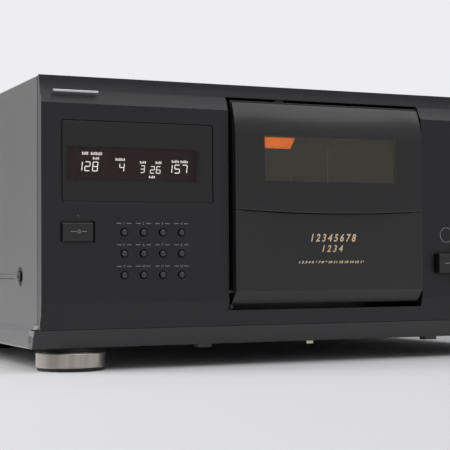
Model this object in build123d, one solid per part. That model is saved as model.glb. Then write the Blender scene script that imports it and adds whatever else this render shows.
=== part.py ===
"""Carousel disc changer: a black hi-fi component that stores discs on edge in a round table.

The frame: +Z up, +X to the right seen from the front, the front faces -Y.
The origin is under the middle of the whole object, on the surface it stands on. Millimetres.
Sections follow the order of assembly: casing, front, door, disc store, disc drive, electrics.
"""
from build123d import *
from math import cos, sin, pi, radians
import os

os.makedirs("parts", exist_ok=True)

# ---------------------------------------------------------------- driving dimensions
DISC_D = 120.0           # disc that a slot holds
DISC_T = 1.2
TABLE_R = 178.0          # rotary table; the casing's width and depth follow from it
SLOT_COUNT = 200
SLOT_W = 1.7
SLOT_DEPTH = 8.0
SIDE_ROOM = 30.4         # from the table's edge to the tray's side wall
FRONT_ROOM = 23.0        # from the front panel's face to the table's edge
REAR_ROOM = 4.5          # from the table's edge to the rear panel's outer face
JACK_PROUD = 7.5         # phono sleeves, behind the rear panel
BASE_STEP = 3.6          # base moulding and the cover's lower edges stand out this far at each side
CASE_H = 180.0           # casing, from its underside to its top
GROUND_GAP = 15.4        # height of the casing's underside above the floor
SHEET = 1.0              # sheet steel of cover, chassis and rear panel
WALL = 2.5               # moulded wall of the front panel
DIMPLE_DEEP = 0.9        # the cover's side screws sit this deep
FIT = 0.1                # face gap where one casing piece seats on another
RUN = 0.05               # radial running clearance of a shaft in its bore
SEAT = 0.02              # radial clearance of a fixed pin in its seat

DOOR_W = 150.4           # door
TOP_BAND = 11.3          # from the door's top to the cover's top
DOOR_RISE = 26.9         # from the casing's underside to the door's lower edge
SEAM_RISE = 92.7         # from the casing's underside to the ends of the window's lower edge
SEAM_DIP = 2.4           # the middle of that edge is this much lower
DOOR_PROUD = 5.2         # flat lower part of the door, in front of the panel
BULGE_PROUD = 9.0        # middle of the window's lower edge, in front of the panel
DOOR_GAP = 3.0           # gap at each side of the door

BODY_X = TABLE_R + SIDE_ROOM + SHEET + FIT + DIMPLE_DEEP + SHEET    # half the width of panel and cover
BASE_X = BODY_X + BASE_STEP                                         # 430 mm over the base moulding
DEPTH = BULGE_PROUD + FRONT_ROOM + 2 * TABLE_R + REAR_ROOM + JACK_PROUD
COVER_TOP = GROUND_GAP + CASE_H
FRONT = -DEPTH / 2 + BULGE_PROUD        # flat face of the front panel
TABLE_Y = FRONT + FRONT_ROOM + TABLE_R  # the table's axis
FLOOR = GROUND_GAP + SHEET              # upper face of the chassis floor
DOOR_TOP = COVER_TOP - TOP_BAND
DOOR_BOTTOM = GROUND_GAP + DOOR_RISE
DOOR_SEAM = GROUND_GAP + SEAM_RISE


# ---------------------------------------------------------------- shared helpers
def block(x0, x1, y0, y1, z0, z1):
    """A box between two corners."""
    return Pos((x0 + x1) / 2, (y0 + y1) / 2, (z0 + z1) / 2) * Box(x1 - x0, y1 - y0, z1 - z0)


def rod_x(r, x0, x1, y, z):
    return Pos((x0 + x1) / 2, y, z) * Rot(0, 90, 0) * Cylinder(r, x1 - x0)


def rod_y(r, x, y0, y1, z):
    return Pos(x, (y0 + y1) / 2, z) * Rot(90, 0, 0) * Cylinder(r, y1 - y0)


def rod_z(r, x, y, z0, z1):
    return Pos(x, y, (z0 + z1) / 2) * Cylinder(r, z1 - z0)


def along_x(outline, x0, x1):
    """A face drawn in (y, z), drawn out from x0 to x1."""
    return extrude(Plane.YZ.offset(x0) * outline, x1 - x0, dir=(1, 0, 0))


def along_y(outline, y0, y1):
    """A face drawn in (x, z), drawn out from y0 to y1."""
    return extrude(Plane.XZ.offset(-y1) * outline, y1 - y0, dir=(0, -1, 0))


def polygon(*points):
    return Polygon(*points, align=None)


def rounded(x0, x1, z0, z1, r):
    """A rectangle with rounded corners, between two corners."""
    return Pos((x0 + x1) / 2, (z0 + z1) / 2) * RectangleRounded(x1 - x0, z1 - z0, r)


def gear_face(teeth, module, turn=0.0):
    """Spur gear outline with straight flanks; one tooth is centred on the angle turn, in degrees."""
    pitch_r = teeth * module / 2
    tip_r, root_r = pitch_r + 0.8 * module, pitch_r - 1.1 * module
    step = 2 * pi / teeth
    flank = ((root_r, -0.29), (tip_r, -0.11), (tip_r, 0.11), (root_r, 0.29))
    points = []
    for tooth in range(teeth):
        for r, share in flank:
            angle = radians(turn) + (tooth + share) * step
            points.append((r * cos(angle), r * sin(angle)))
    return polygon(*points)


def keep(name, *solids):
    """Write one sub-part, made of one or more solids, to its own file."""
    shape = solids[0] if len(solids) == 1 else Compound(children=list(solids))
    shape.label = name
    export_step(shape, os.path.join("parts", name + ".step"))


# ---------------------------------------------------------------- casing: screws that hold it
SCREW_R = 1.5
SCREW_HEAD_R = 3.6
SCREW_HEAD_H = 2.0
SCREW_LEN = 7.0
SCREW_HOLE_R = 1.7
DIMPLE_R = 7.5
REAR_FACE = TABLE_Y + TABLE_R + REAR_ROOM        # outer face of the rear panel
SIDE_SCREW_Z = GROUND_GAP + 47.4
SIDE_SCREWS_Y = (FRONT + 52.9, REAR_FACE - 27.5)
REAR_SCREWS_X = (61.4 - BODY_X, 0.0, BODY_X - 61.4)
REAR_SCREW_DROP = 8.0                   # below the cover's top


def screw():
    """Pan head screw along +Z: the head's underside is at the origin, the shank points down."""
    head = Pos(0, 0, SCREW_HEAD_H / 2) * Cylinder(SCREW_HEAD_R, SCREW_HEAD_H)
    slot = Pos(0, 0, SCREW_HEAD_H) * (Box(3.6, 0.9, 1.2) + Box(0.9, 3.6, 1.2))
    shank = Pos(0, 0, -SCREW_LEN / 2) * Cylinder(SCREW_R, SCREW_LEN)
    return head - slot + shank


# ---------------------------------------------------------------- casing: cover
PANEL_RETURN = 8.2                      # depth of the front panel's side walls
COVER_FRONT = FRONT + PANEL_RETURN + 0.4
SKIRT_FRONT = FRONT + 18.8              # front edge of the cover's joggled lower part
JOGGLE_TOP = GROUND_GAP + 13.9
JOGGLE_LOW = GROUND_GAP + 10.7
COVER_REAR = REAR_FACE + 0.8
RIB_Z = (SIDE_SCREW_Z - 1.8, SIDE_SCREW_Z + 1.6)    # long pressed groove along each side
RIB_CLEAR = 17.4                        # the groove starts and ends this far from a side screw
RIB_DEEP = 0.4
COVER_FOLD_R = 1.6                      # outer radius of the folds along the top


def cover_outline(inset):
    """Outer or inner line of the folded cover, as a closed face down to the open underside."""
    x, w = BODY_X - inset, BASE_X - inset
    top = COVER_TOP - inset
    low, high = JOGGLE_LOW - inset, JOGGLE_TOP - inset
    bottom = GROUND_GAP if inset == 0 else GROUND_GAP - 1
    right = [(x, top), (x, high), (w, low), (w, bottom)]
    left = [(-px, pz) for px, pz in reversed(right)]
    return polygon(*right, *left)


def top_cover():
    shell = along_y(cover_outline(0) - cover_outline(SHEET), COVER_FRONT, COVER_REAR)
    shell = fillet([e for e in shell.edges().filter_by(Axis.Y)
                    if abs(e.center().X) > BODY_X - 0.01 and e.center().Z > COVER_TOP - 0.01], COVER_FOLD_R)
    notch = block(-BASE_X - 1, BASE_X + 1, COVER_FRONT - 1, SKIRT_FRONT, 0, BAND_Z + 0.3)
    shell -= notch
    for side in (-1, 1):
        face = side * BODY_X
        inner = side * (BODY_X - SHEET)
        for y in SIDE_SCREWS_Y:
            turn = Pos(face, y, SIDE_SCREW_Z) * Rot(0, side * 90, 0)
            dish = Pos(0, 0, -DIMPLE_DEEP / 2) * Cone(DIMPLE_R - 1.4, DIMPLE_R, DIMPLE_DEEP)
            bump = Pos(0, 0, -DIMPLE_DEEP / 2 - SHEET) * Cone(DIMPLE_R - 1.4, DIMPLE_R, DIMPLE_DEEP)
            shell += turn * bump
            shell -= turn * dish
            shell -= rod_x(SCREW_HOLE_R, *sorted((inner - side * 3, face)), y, SIDE_SCREW_Z)
        groove = sorted((face - side * RIB_DEEP, face + side))
        back = sorted((inner - side * RIB_DEEP, inner))
        ends = (SIDE_SCREWS_Y[0] + RIB_CLEAR, SIDE_SCREWS_Y[1] - RIB_CLEAR)
        shell += block(*back, *ends, *RIB_Z)
        shell -= block(*groove, *ends, *RIB_Z)
    return shell


# ---------------------------------------------------------------- casing: bottom tray and rear panel
TRAY_X = BODY_X - SHEET - DIMPLE_DEEP - FIT     # outer face of the tray's side walls
TRAY_FRONT = FRONT + 12.5
TRAY_WALL_TOP = GROUND_GAP + 55.7
TRAY_LIP = 10.0
HOOK_X = DOOR_W / 2 + 16.8
FOOT_X = BODY_X - 29.0
FOOT_Y = FRONT + 30.0
REAR_FOOT_X = BODY_X - 46.4
REAR_FOOT_Y = REAR_FACE - 84.5
VENT_COUNT = 4                          # slots under each rear corner
VENT_PITCH = 8.0
VENT_W = 3.0
VENT_Y = (REAR_FOOT_Y + 24.0, REAR_FACE - 17.0)
FOOT_SCREW_R = 2.0
FOOT_SCREW_HOLE_R = 2.2


def bottom_chassis():
    rear = REAR_FACE - SHEET - FIT
    tray = block(-TRAY_X, TRAY_X, TRAY_FRONT, rear, GROUND_GAP, TRAY_WALL_TOP)
    tray -= block(-TRAY_X + SHEET, TRAY_X - SHEET, TRAY_FRONT + SHEET, rear - SHEET, FLOOR, TRAY_WALL_TOP + 1)
    tray -= block(-TRAY_X + SHEET, TRAY_X - SHEET, TRAY_FRONT - 1, TRAY_FRONT + SHEET * 2,
                  FLOOR + TRAY_LIP, TRAY_WALL_TOP + 1)
    tray -= block(-TRAY_X + SHEET, TRAY_X - SHEET, rear - 2 * SHEET, rear + 1,
                  FLOOR + TRAY_LIP, TRAY_WALL_TOP + 1)
    for n in range(VENT_COUNT):
        for side in (-1, 1):
            x = side * (REAR_FOOT_X - 12 + n * VENT_PITCH)
            tray -= block(x - VENT_W / 2, x + VENT_W / 2, *VENT_Y, GROUND_GAP - 1, FLOOR + 1)
    for side in (-1, 1):
        for y in SIDE_SCREWS_Y:
            tray -= rod_x(SCREW_HOLE_R, *sorted((side * (TRAY_X - 2), side * (TRAY_X + 1))), y, SIDE_SCREW_Z)
        for x, y in ((FOOT_X, FOOT_Y), (REAR_FOOT_X, REAR_FOOT_Y)):
            tray -= rod_z(FOOT_SCREW_HOLE_R, side * x, y, GROUND_GAP - 1, FLOOR + 1)
    return tray


PHONO_X = (TRAY_X - 41.4, TRAY_X - 25.4)
PHONO_Z = COVER_TOP - 44.3
PHONO_SLEEVE_R = 4.15
PHONO_HOLE_R = 6.5
PHONO_PIN_R = 1.7                       # hole for the plug's middle pin
PHONO_PIN_DEEP = 12.0
MINI_X = (TRAY_X - 81.4, TRAY_X - 67.4)
MINI_Z = PHONO_Z
MINI_R = 1.8
MINI_HOLE_R = 4.5
MINI_PROUD = 1.5
MINI_DEEP = 14.0
BUSH_X = 44.4 - TRAY_X
BUSH_Z = GROUND_GAP + 33.7
BUSH_R = 7.0
BUSH_BORE_R = 3.6


def rear_panel():
    sheet = block(-TRAY_X, TRAY_X, REAR_FACE - SHEET, REAR_FACE, GROUND_GAP + 0.3, COVER_TOP - SHEET - FIT)
    for x in PHONO_X:
        sheet -= rod_y(PHONO_HOLE_R, x, REAR_FACE - 2, REAR_FACE + 1, PHONO_Z)
    for x in MINI_X:
        sheet -= rod_y(MINI_HOLE_R, x, REAR_FACE - 2, REAR_FACE + 1, MINI_Z)
    sheet -= rod_y(BUSH_R + 0.1, BUSH_X, REAR_FACE - 2, REAR_FACE + 1, BUSH_Z)
    flange_top = COVER_TOP - SHEET - FIT
    flange = block(-TRAY_X, TRAY_X, REAR_FACE - 16, REAR_FACE - SHEET, flange_top - SHEET, flange_top)
    for x in REAR_SCREWS_X:
        sheet -= rod_y(SCREW_HOLE_R, x, REAR_FACE - 2, REAR_FACE + 1, COVER_TOP - REAR_SCREW_DROP)
    return sheet + flange


def case_screws():
    found = []
    for side in (-1, 1):
        for y in SIDE_SCREWS_Y:
            seat = side * (BODY_X - DIMPLE_DEEP)
            found.append(Pos(seat, y, SIDE_SCREW_Z) * Rot(0, side * 90, 0) * screw())
    for x in REAR_SCREWS_X:
        found.append(Pos(x, REAR_FACE, COVER_TOP - REAR_SCREW_DROP) * Rot(-90, 0, 0) * screw())
    return found


# ---------------------------------------------------------------- casing: feet
FOOT_R = 23.6
FOOT_BAND_TOP = GROUND_GAP - 3.4
FOOT_NECK_R = 19.0
PAD_H = 2.0
PAD_R = 22.6
REAR_FOOT_R = 17.0
FOOT_BORE_R = 5.0                       # well that the screw head sits in
FOOT_WEB = 3.0                          # material above the well


def front_foot(x):
    """A turned metal band round a moulded core; the neck seats on the tray."""
    foot = rod_z(FOOT_R, x, FOOT_Y, PAD_H, FOOT_BAND_TOP)
    foot = chamfer(foot.edges(), 0.5)
    foot += rod_z(FOOT_NECK_R, x, FOOT_Y, FOOT_BAND_TOP, GROUND_GAP)
    foot -= rod_z(FOOT_BORE_R, x, FOOT_Y, 0, GROUND_GAP - FOOT_WEB)
    return foot - rod_z(FOOT_SCREW_HOLE_R, x, FOOT_Y, 0, GROUND_GAP + 1)


def foot_pads():
    """Rubber rings under the two front feet."""
    return [rod_z(PAD_R, x, FOOT_Y, 0, PAD_H) - rod_z(FOOT_BORE_R, x, FOOT_Y, -1, PAD_H + 1)
            for x in (-FOOT_X, FOOT_X)]


def rear_foot(x):
    foot = Pos(x, REAR_FOOT_Y, GROUND_GAP / 2) * Cone(REAR_FOOT_R - 2, REAR_FOOT_R, GROUND_GAP)
    foot -= rod_z(FOOT_BORE_R, x, REAR_FOOT_Y, -1, GROUND_GAP - FOOT_WEB)
    return foot - rod_z(FOOT_SCREW_HOLE_R, x, REAR_FOOT_Y, 0, GROUND_GAP + 1)


def foot_screws():
    found = []
    for side in (-1, 1):
        for x, y in ((FOOT_X, FOOT_Y), (REAR_FOOT_X, REAR_FOOT_Y)):
            seat = GROUND_GAP - FOOT_WEB
            head = rod_z(FOOT_BORE_R - 0.8, side * x, y, seat - 2.4, seat)
            found.append(head + rod_z(FOOT_SCREW_R, side * x, y, seat, FLOOR + 3.0))
    return found


# ---------------------------------------------------------------- front: panel profile
COVE_Z = COVER_TOP - 18.8               # edge where the coved top band begins
COVE_BACK = 6.6                         # how far the cove sweeps back
SLOPE_Z = GROUND_GAP + 29.9             # edge where the lower band begins to slope back
BAND_Z = GROUND_GAP + 12.4              # joint between the panel and the base moulding
BAND_BACK = 5.3
BASE_BACK = 11.2                        # how far the base moulding slopes back
BASE_RETURN = 18.4                      # its side walls end here
PANEL_TOP = COVER_TOP
OPENING_X = DOOR_W / 2 + DOOR_GAP
OPENING_TOP = DOOR_TOP + 2.2
OPENING_BOTTOM = DOOR_BOTTOM - 3.8
OPENING_CORNER = 1.0
BAND_GAP = 0.2                          # joint line between the panel and the base moulding
PANEL_BACK = FRONT + WALL


def panel_profile():
    """Side view of the front panel: coved band, flat face and sloped band, as a thick wall."""
    rise = PANEL_TOP - COVE_Z
    cove_r = (rise ** 2 + COVE_BACK ** 2) / (2 * COVE_BACK)
    low = (FRONT + BAND_BACK, BAND_Z)
    with BuildSketch() as wall:
        with BuildLine():
            Line(low, (FRONT, SLOPE_Z))
            Line((FRONT, SLOPE_Z), (FRONT, COVE_Z))
            RadiusArc((FRONT, COVE_Z), (FRONT + COVE_BACK, PANEL_TOP), -cove_r)
            Line((FRONT + COVE_BACK, PANEL_TOP), (FRONT + PANEL_RETURN, PANEL_TOP))
            Line((FRONT + PANEL_RETURN, PANEL_TOP), (FRONT + PANEL_RETURN, BAND_Z))
            Line((FRONT + PANEL_RETURN, BAND_Z), low)
        make_face()
    return wall.sketch


def panel_hollow():
    """Side view of the space behind the panel's wall."""
    shift = BAND_BACK * (WALL + 0.3) / (SLOPE_Z - BAND_Z)
    back = FRONT + PANEL_RETURN + 1
    return polygon((back, BAND_Z + 2), (FRONT + BAND_BACK - shift + WALL, BAND_Z + 2),
                   (PANEL_BACK, SLOPE_Z), (PANEL_BACK, COVE_Z + 1.5),
                   (FRONT + COVE_BACK * 0.78 + WALL, PANEL_TOP - WALL), (back, PANEL_TOP - WALL))


# ---------------------------------------------------------------- front: places of the controls
POWER_X = (12.5 - BODY_X, 36.3 - BODY_X)
POWER_Z = (GROUND_GAP + 69.2, GROUND_GAP + 83.8)
POWER_GAP = 1.4
POWER_PROUD = 1.0
POWER_TRAVEL = 2.5
KEY_COLUMNS = 4
KEY_ROWS = 3
KEY_X0 = POWER_X[1] + 20.4              # middle of the first column
KEY_PITCH_X = (-OPENING_X - 35.3 - KEY_X0) / (KEY_COLUMNS - 1)
KEY_Z0 = GROUND_GAP + 76.5              # middle of the top row
KEY_PITCH_Z = 14.25
KEY_R = 2.05
KEY_GAP = 0.75
KEY_PROUD = 0.9
KEY_TRAVEL = 0.8
WINDOW_X = (13.4 - BODY_X, -OPENING_X - 11.5)
WINDOW_Z = (KEY_Z0 + 19.9, DOOR_TOP - 18.3)
WINDOW_CORNER = 2.0
WINDOW_GAP = 0.7
BAR_Z = (GROUND_GAP + 46.6, GROUND_GAP + 62.7)      # row of bar keys right of the door
BAR_GAP = 1.1
BAR_PROUD = 5.6
BAR_TRAVEL = 0.8
BAR_X = (OPENING_X + 10.5, BODY_X - 11.4)            # the row runs between these
BAR_FIRST_W = 27.5                      # the first key is wider and stands apart
BAR_SPACES = (7.5, 3.5, 3.5)
BAR_NAMES = ("open_close_button", "play_button", "pause_button", "stop_button")
DIAL_X = BODY_X - 53.4
DIAL_Z = COVER_TOP - 60.3
DIAL_R = 21.0
DIAL_PROUD = 8.0
DIAL_GAP = 0.8
DIAL_SHAFT_R = 3.0
DIAL_FLUTES = 36
FLUTE_R = 0.7
LAMP_R = 0.9                            # standby lamp's hole above the power button
LAMP_Z = POWER_Z[1] + 2.8
FLANGE = 1.3                            # how far a key's collar reaches behind the panel
FLANGE_H = 1.0
KEY_RELIEF = 0.15                       # gap between a key's collar and the panel at rest
BOARD_Y = FRONT + 12.0                  # face of the boards that the keys press on
BOARD_X = (OPENING_X + 6.0, BODY_X - 7.4)           # both boards, mirrored
BOARD_Z = (GROUND_GAP + 37.7, COVER_TOP - 20.3)
BOSS_R = 2.2                            # bosses behind the panel that carry the boards
BOSS_X = (OPENING_X + 13.8, BODY_X - 11.4)
BOSS_Z = (BOARD_Z[0] + 3.5, BOARD_Z[1] - 3.2)
BOARD_T = 1.6
SWITCH_H = 2.6


def bar_places():
    """Name and both ends of each bar key; the keys after the first share what is left of the row."""
    rest = BAR_X[1] - BAR_X[0] - BAR_FIRST_W - sum(BAR_SPACES)
    widths = [BAR_FIRST_W] + [rest / (len(BAR_NAMES) - 1)] * (len(BAR_NAMES) - 1)
    start = BAR_X[0]
    found = []
    for name, width, space in zip(BAR_NAMES, widths, BAR_SPACES + (0,)):
        found.append((name, start, start + width))
        start += width + space
    return found


def key_places():
    """Name, x and z of each round key, row by row from the top."""
    return [(f"key_{row + 1}{column + 1}", KEY_X0 + column * KEY_PITCH_X, KEY_Z0 - row * KEY_PITCH_Z)
            for row in range(KEY_ROWS) for column in range(KEY_COLUMNS)]


def front_panel():
    panel = along_x(panel_profile(), -BODY_X, BODY_X)
    panel -= along_x(panel_hollow(), -BODY_X + WALL, BODY_X - WALL)
    holes = rounded(-OPENING_X, OPENING_X, OPENING_BOTTOM, OPENING_TOP, OPENING_CORNER)
    holes += rounded(*WINDOW_X, *WINDOW_Z, WINDOW_CORNER)
    holes += rounded(*POWER_X, *POWER_Z, 0.8)
    for _, x0, x1 in bar_places():
        holes += rounded(x0, x1, *BAR_Z, 0.8)
    for _, x, z in key_places():
        holes += Pos(x, z) * Circle(KEY_R + KEY_GAP)
    holes += Pos(DIAL_X, DIAL_Z) * Circle(DIAL_R + DIAL_GAP)
    holes += Pos((POWER_X[0] + POWER_X[1]) / 2, LAMP_Z) * Circle(LAMP_R)
    panel -= along_y(holes, FRONT - 2, FRONT + PANEL_RETURN + 1)
    for x in BOSS_X:
        for z in BOSS_Z:
            panel += rod_y(BOSS_R, x, PANEL_BACK - 0.5, BOARD_Y, z)
            panel += rod_y(BOSS_R, -x, PANEL_BACK - 0.5, BOARD_Y, z)
    return panel


def base_moulding():
    """The strip under the panel, wider than it, with short side returns and two hooks below."""
    top = BAND_Z - BAND_GAP
    outer = polygon((FRONT + BAND_BACK + 0.2, top), (FRONT + BASE_RETURN, top),
                    (FRONT + BASE_RETURN, GROUND_GAP), (FRONT + BASE_BACK, GROUND_GAP))
    inner = polygon((FRONT + BAND_BACK + 0.2 + WALL, top - WALL), (FRONT + BASE_RETURN + 1, top - WALL),
                    (FRONT + BASE_RETURN + 1, GROUND_GAP - 1), (FRONT + BASE_BACK + WALL, GROUND_GAP - 1))
    strip = along_x(outer, -BASE_X, BASE_X)
    strip -= along_x(inner, -BASE_X + WALL, BASE_X - WALL)
    strip -= block(-TRAY_X - FIT, TRAY_X + FIT, TRAY_FRONT - FIT, FRONT + BASE_RETURN + 1, 0, BAND_Z)
    for side in (-1, 1):
        corner = sorted((side * (TRAY_X + FIT), side * (BASE_X + 1)))
        strip -= block(*corner, SKIRT_FRONT - 0.2, FRONT + BASE_RETURN + 1, 0, BAND_Z)
        hook = block(side * HOOK_X - 5, side * HOOK_X + 5, FRONT + BASE_BACK + 0.2, TRAY_FRONT + 6,
                     GROUND_GAP - 2.2, GROUND_GAP - FIT)
        strip += hook
        strip += block(side * HOOK_X - 5, side * HOOK_X + 5, FRONT + BASE_BACK, TRAY_FRONT - FIT,
                       GROUND_GAP - 2.2, GROUND_GAP + 3)
    return strip


# ---------------------------------------------------------------- front: display
DISPLAY_TUBE_X = (WINDOW_X[0] + 8.0, WINDOW_X[1] - 8.3)
DISPLAY_TUBE_Z = (WINDOW_Z[0] + 6.3, WINDOW_Z[1] - 5.7)
DISPLAY_TUBE_Y = FRONT + 5.5            # front of the tube's glass


def display_window():
    """Smoked pane, flush with the panel, held from behind by its flange."""
    g = WINDOW_GAP
    pane = rounded(WINDOW_X[0] + g, WINDOW_X[1] - g, WINDOW_Z[0] + g, WINDOW_Z[1] - g, WINDOW_CORNER - g)
    rim = rounded(WINDOW_X[0] - 2, WINDOW_X[1] + 2, WINDOW_Z[0] - 2, WINDOW_Z[1] + 2, WINDOW_CORNER)
    return along_y(pane, FRONT + 0.1, PANEL_BACK + 1) + along_y(rim, PANEL_BACK, PANEL_BACK + 1)


def display_tube():
    """Flat glass envelope with its pump-off nipple, lying on the board."""
    tube = block(*DISPLAY_TUBE_X, DISPLAY_TUBE_Y, BOARD_Y - FIT, *DISPLAY_TUBE_Z)
    tube = fillet(tube.edges().filter_by(Axis.Y), 1.0)
    z = DISPLAY_TUBE_Z[1] - 6
    return tube + rod_x(1.6, DISPLAY_TUBE_X[1] - 0.5, DISPLAY_TUBE_X[1] + 5, BOARD_Y - 3.2, z)


def board_of(x0, x1, switches):
    """A board with the small switches that the keys' stems press."""
    board = block(x0, x1, BOARD_Y, BOARD_Y + BOARD_T, *BOARD_Z)
    for x, z in switches:
        board += block(x - 2.2, x + 2.2, BOARD_Y - SWITCH_H, BOARD_Y, z - 2.2, z + 2.2)
    return board


def front_boards():
    """Two boards: behind the display and keys at the left, and behind the keys at the right."""
    left = [(x, z) for _, x, z in key_places()]
    left.append((sum(POWER_X) / 2, sum(POWER_Z) / 2))
    right = [((x0 + x1) / 2, sum(BAR_Z) / 2) for _, x0, x1 in bar_places()]
    left_board = board_of(-BOARD_X[1], -BOARD_X[0], left)
    right_board = board_of(*BOARD_X, right)
    sleeve = rod_y(DIAL_SHAFT_R + 4, DIAL_X, BOARD_Y - 3, BOARD_Y, DIAL_Z)
    right_board += sleeve
    right_board -= rod_y(DIAL_SHAFT_R + RUN, DIAL_X, BOARD_Y - 4, BOARD_Y + BOARD_T + 1, DIAL_Z)
    return left_board, right_board


# ---------------------------------------------------------------- front: buttons and the dial
def stem_end(travel):
    return BOARD_Y - SWITCH_H - travel - 0.2


def bar_button(x0, x1, z0, z1, gap, proud, travel):
    """A rectangular key cap with softened edges, a collar behind the panel and a stem."""
    back = PANEL_BACK + KEY_RELIEF
    cap = along_y(rounded(x0 + gap, x1 - gap, z0 + gap, z1 - gap, 0.7), FRONT - proud, back)
    cap = chamfer(cap.faces().sort_by(Axis.Y)[0].edges(), 0.4)
    collar = block(x0 - FLANGE, x1 + FLANGE, back, back + FLANGE_H, z0 - FLANGE, z1 + FLANGE)
    x, z = (x0 + x1) / 2, (z0 + z1) / 2
    return cap + collar + block(x - 1.5, x + 1.5, PANEL_BACK + FLANGE_H, stem_end(travel), z - 1.5, z + 1.5)


def round_key(x, z):
    """A small round key with a dished face, a collar behind the panel and a stem."""
    back = PANEL_BACK + KEY_RELIEF
    cap = rod_y(KEY_R, x, FRONT - KEY_PROUD, back, z)
    dish_r = 4.4
    sunk = 0.35
    cap -= Pos(x, FRONT - KEY_PROUD - dish_r + sunk, z) * Sphere(dish_r)
    collar = rod_y(KEY_R + KEY_GAP + FLANGE, x, back, back + FLANGE_H, z)
    return cap + collar + block(x - 1, x + 1, PANEL_BACK + FLANGE_H, stem_end(KEY_TRAVEL), z - 1, z + 1)


def jog_dial():
    """A knurled-edge knob with a finger dish near its rim, on a shaft held in the board's sleeve."""
    knob = rod_y(DIAL_R, DIAL_X, FRONT - DIAL_PROUD, PANEL_BACK, DIAL_Z)
    knob = chamfer(knob.faces().sort_by(Axis.Y)[0].edges(), 1.2)
    for n in range(DIAL_FLUTES):
        angle = 2 * pi * n / DIAL_FLUTES
        x, z = DIAL_X + DIAL_R * cos(angle), DIAL_Z + DIAL_R * sin(angle)
        knob -= rod_y(FLUTE_R, x, FRONT - DIAL_PROUD + 1.2, FRONT - 1, z)
    knob -= rod_y(DIAL_R - WALL, DIAL_X, FRONT - DIAL_PROUD + WALL, PANEL_BACK + 1, DIAL_Z)
    knob -= Pos(DIAL_X + DIAL_R * 0.58, FRONT - DIAL_PROUD - 6.2, DIAL_Z) * Sphere(7.5)
    shaft = rod_y(DIAL_SHAFT_R, DIAL_X, FRONT - DIAL_PROUD + WALL, BOARD_Y + BOARD_T, DIAL_Z)
    hub = rod_y(DIAL_SHAFT_R + 3, DIAL_X, FRONT - DIAL_PROUD + WALL - 0.5, PANEL_BACK, DIAL_Z)
    return knob + hub + shaft


# ---------------------------------------------------------------- door and loading bay
DOOR_X = DOOR_W / 2
DOOR_FACE = FRONT - DOOR_PROUD
DOOR_SIDE = 3.0                         # thickness of the door's side walls
DOOR_BEVEL_TOP = DOOR_BOTTOM + 9.0
DOOR_BEVEL_BACK = 3.3
DOOR_DEPTH = 8.0                        # back of the door, behind the panel's face
PIVOT_Y = FRONT + 6.0
PIVOT_Z = DOOR_BOTTOM + 8.8
PIVOT_PIN_R = 1.5
EAR_R = 4.5
CLEAR_X = DOOR_X - 17.2                 # hole in the carrier plate, behind the window
CLEAR_Z = (DOOR_SEAM + 16.9, DOOR_TOP - 18.1)
PANE = 2.2                              # wall of the bulged window
PANE_BACK = FRONT + 3.4                 # the window seats on the door's carrier plate here
PANE_TOP = DOOR_TOP - 1.7
PANE_ROLL = 0.7                         # share of its height where the window starts to roll back
ROLL_BACK = 5.0
SECTOR_TEETH = 30
DOOR_GEAR_TEETH = 12
DOOR_MODULE = 1.0
GEAR_Y = PIVOT_Y + (SECTOR_TEETH + DOOR_GEAR_TEETH) * DOOR_MODULE / 2
CHEEK = 3.0                             # wall of the loading bay
CHEEK_X = DOOR_X + 1.8
CHEEK_BACK = GEAR_Y + 9.0
BAY_TOP = OPENING_TOP + 0.8
BAY_LOW = BAND_Z + 2.5
MOTOR_R = 10.0
MOTOR_LEN = 25.0


def seam_band(low, high):
    """A band along the arc where window and lower skin meet, between two heights above the arc."""
    x = DOOR_X + 1
    with BuildSketch() as band:
        with BuildLine():
            ThreePointArc((-x, DOOR_SEAM + low), (0, DOOR_SEAM - SEAM_DIP + low), (x, DOOR_SEAM + low))
            Line((x, DOOR_SEAM + low), (x, DOOR_SEAM + high))
            ThreePointArc((x, DOOR_SEAM + high), (0, DOOR_SEAM - SEAM_DIP + high), (-x, DOOR_SEAM + high))
            Line((-x, DOOR_SEAM + high), (-x, DOOR_SEAM + low))
        make_face()
    return band.sketch


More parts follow.
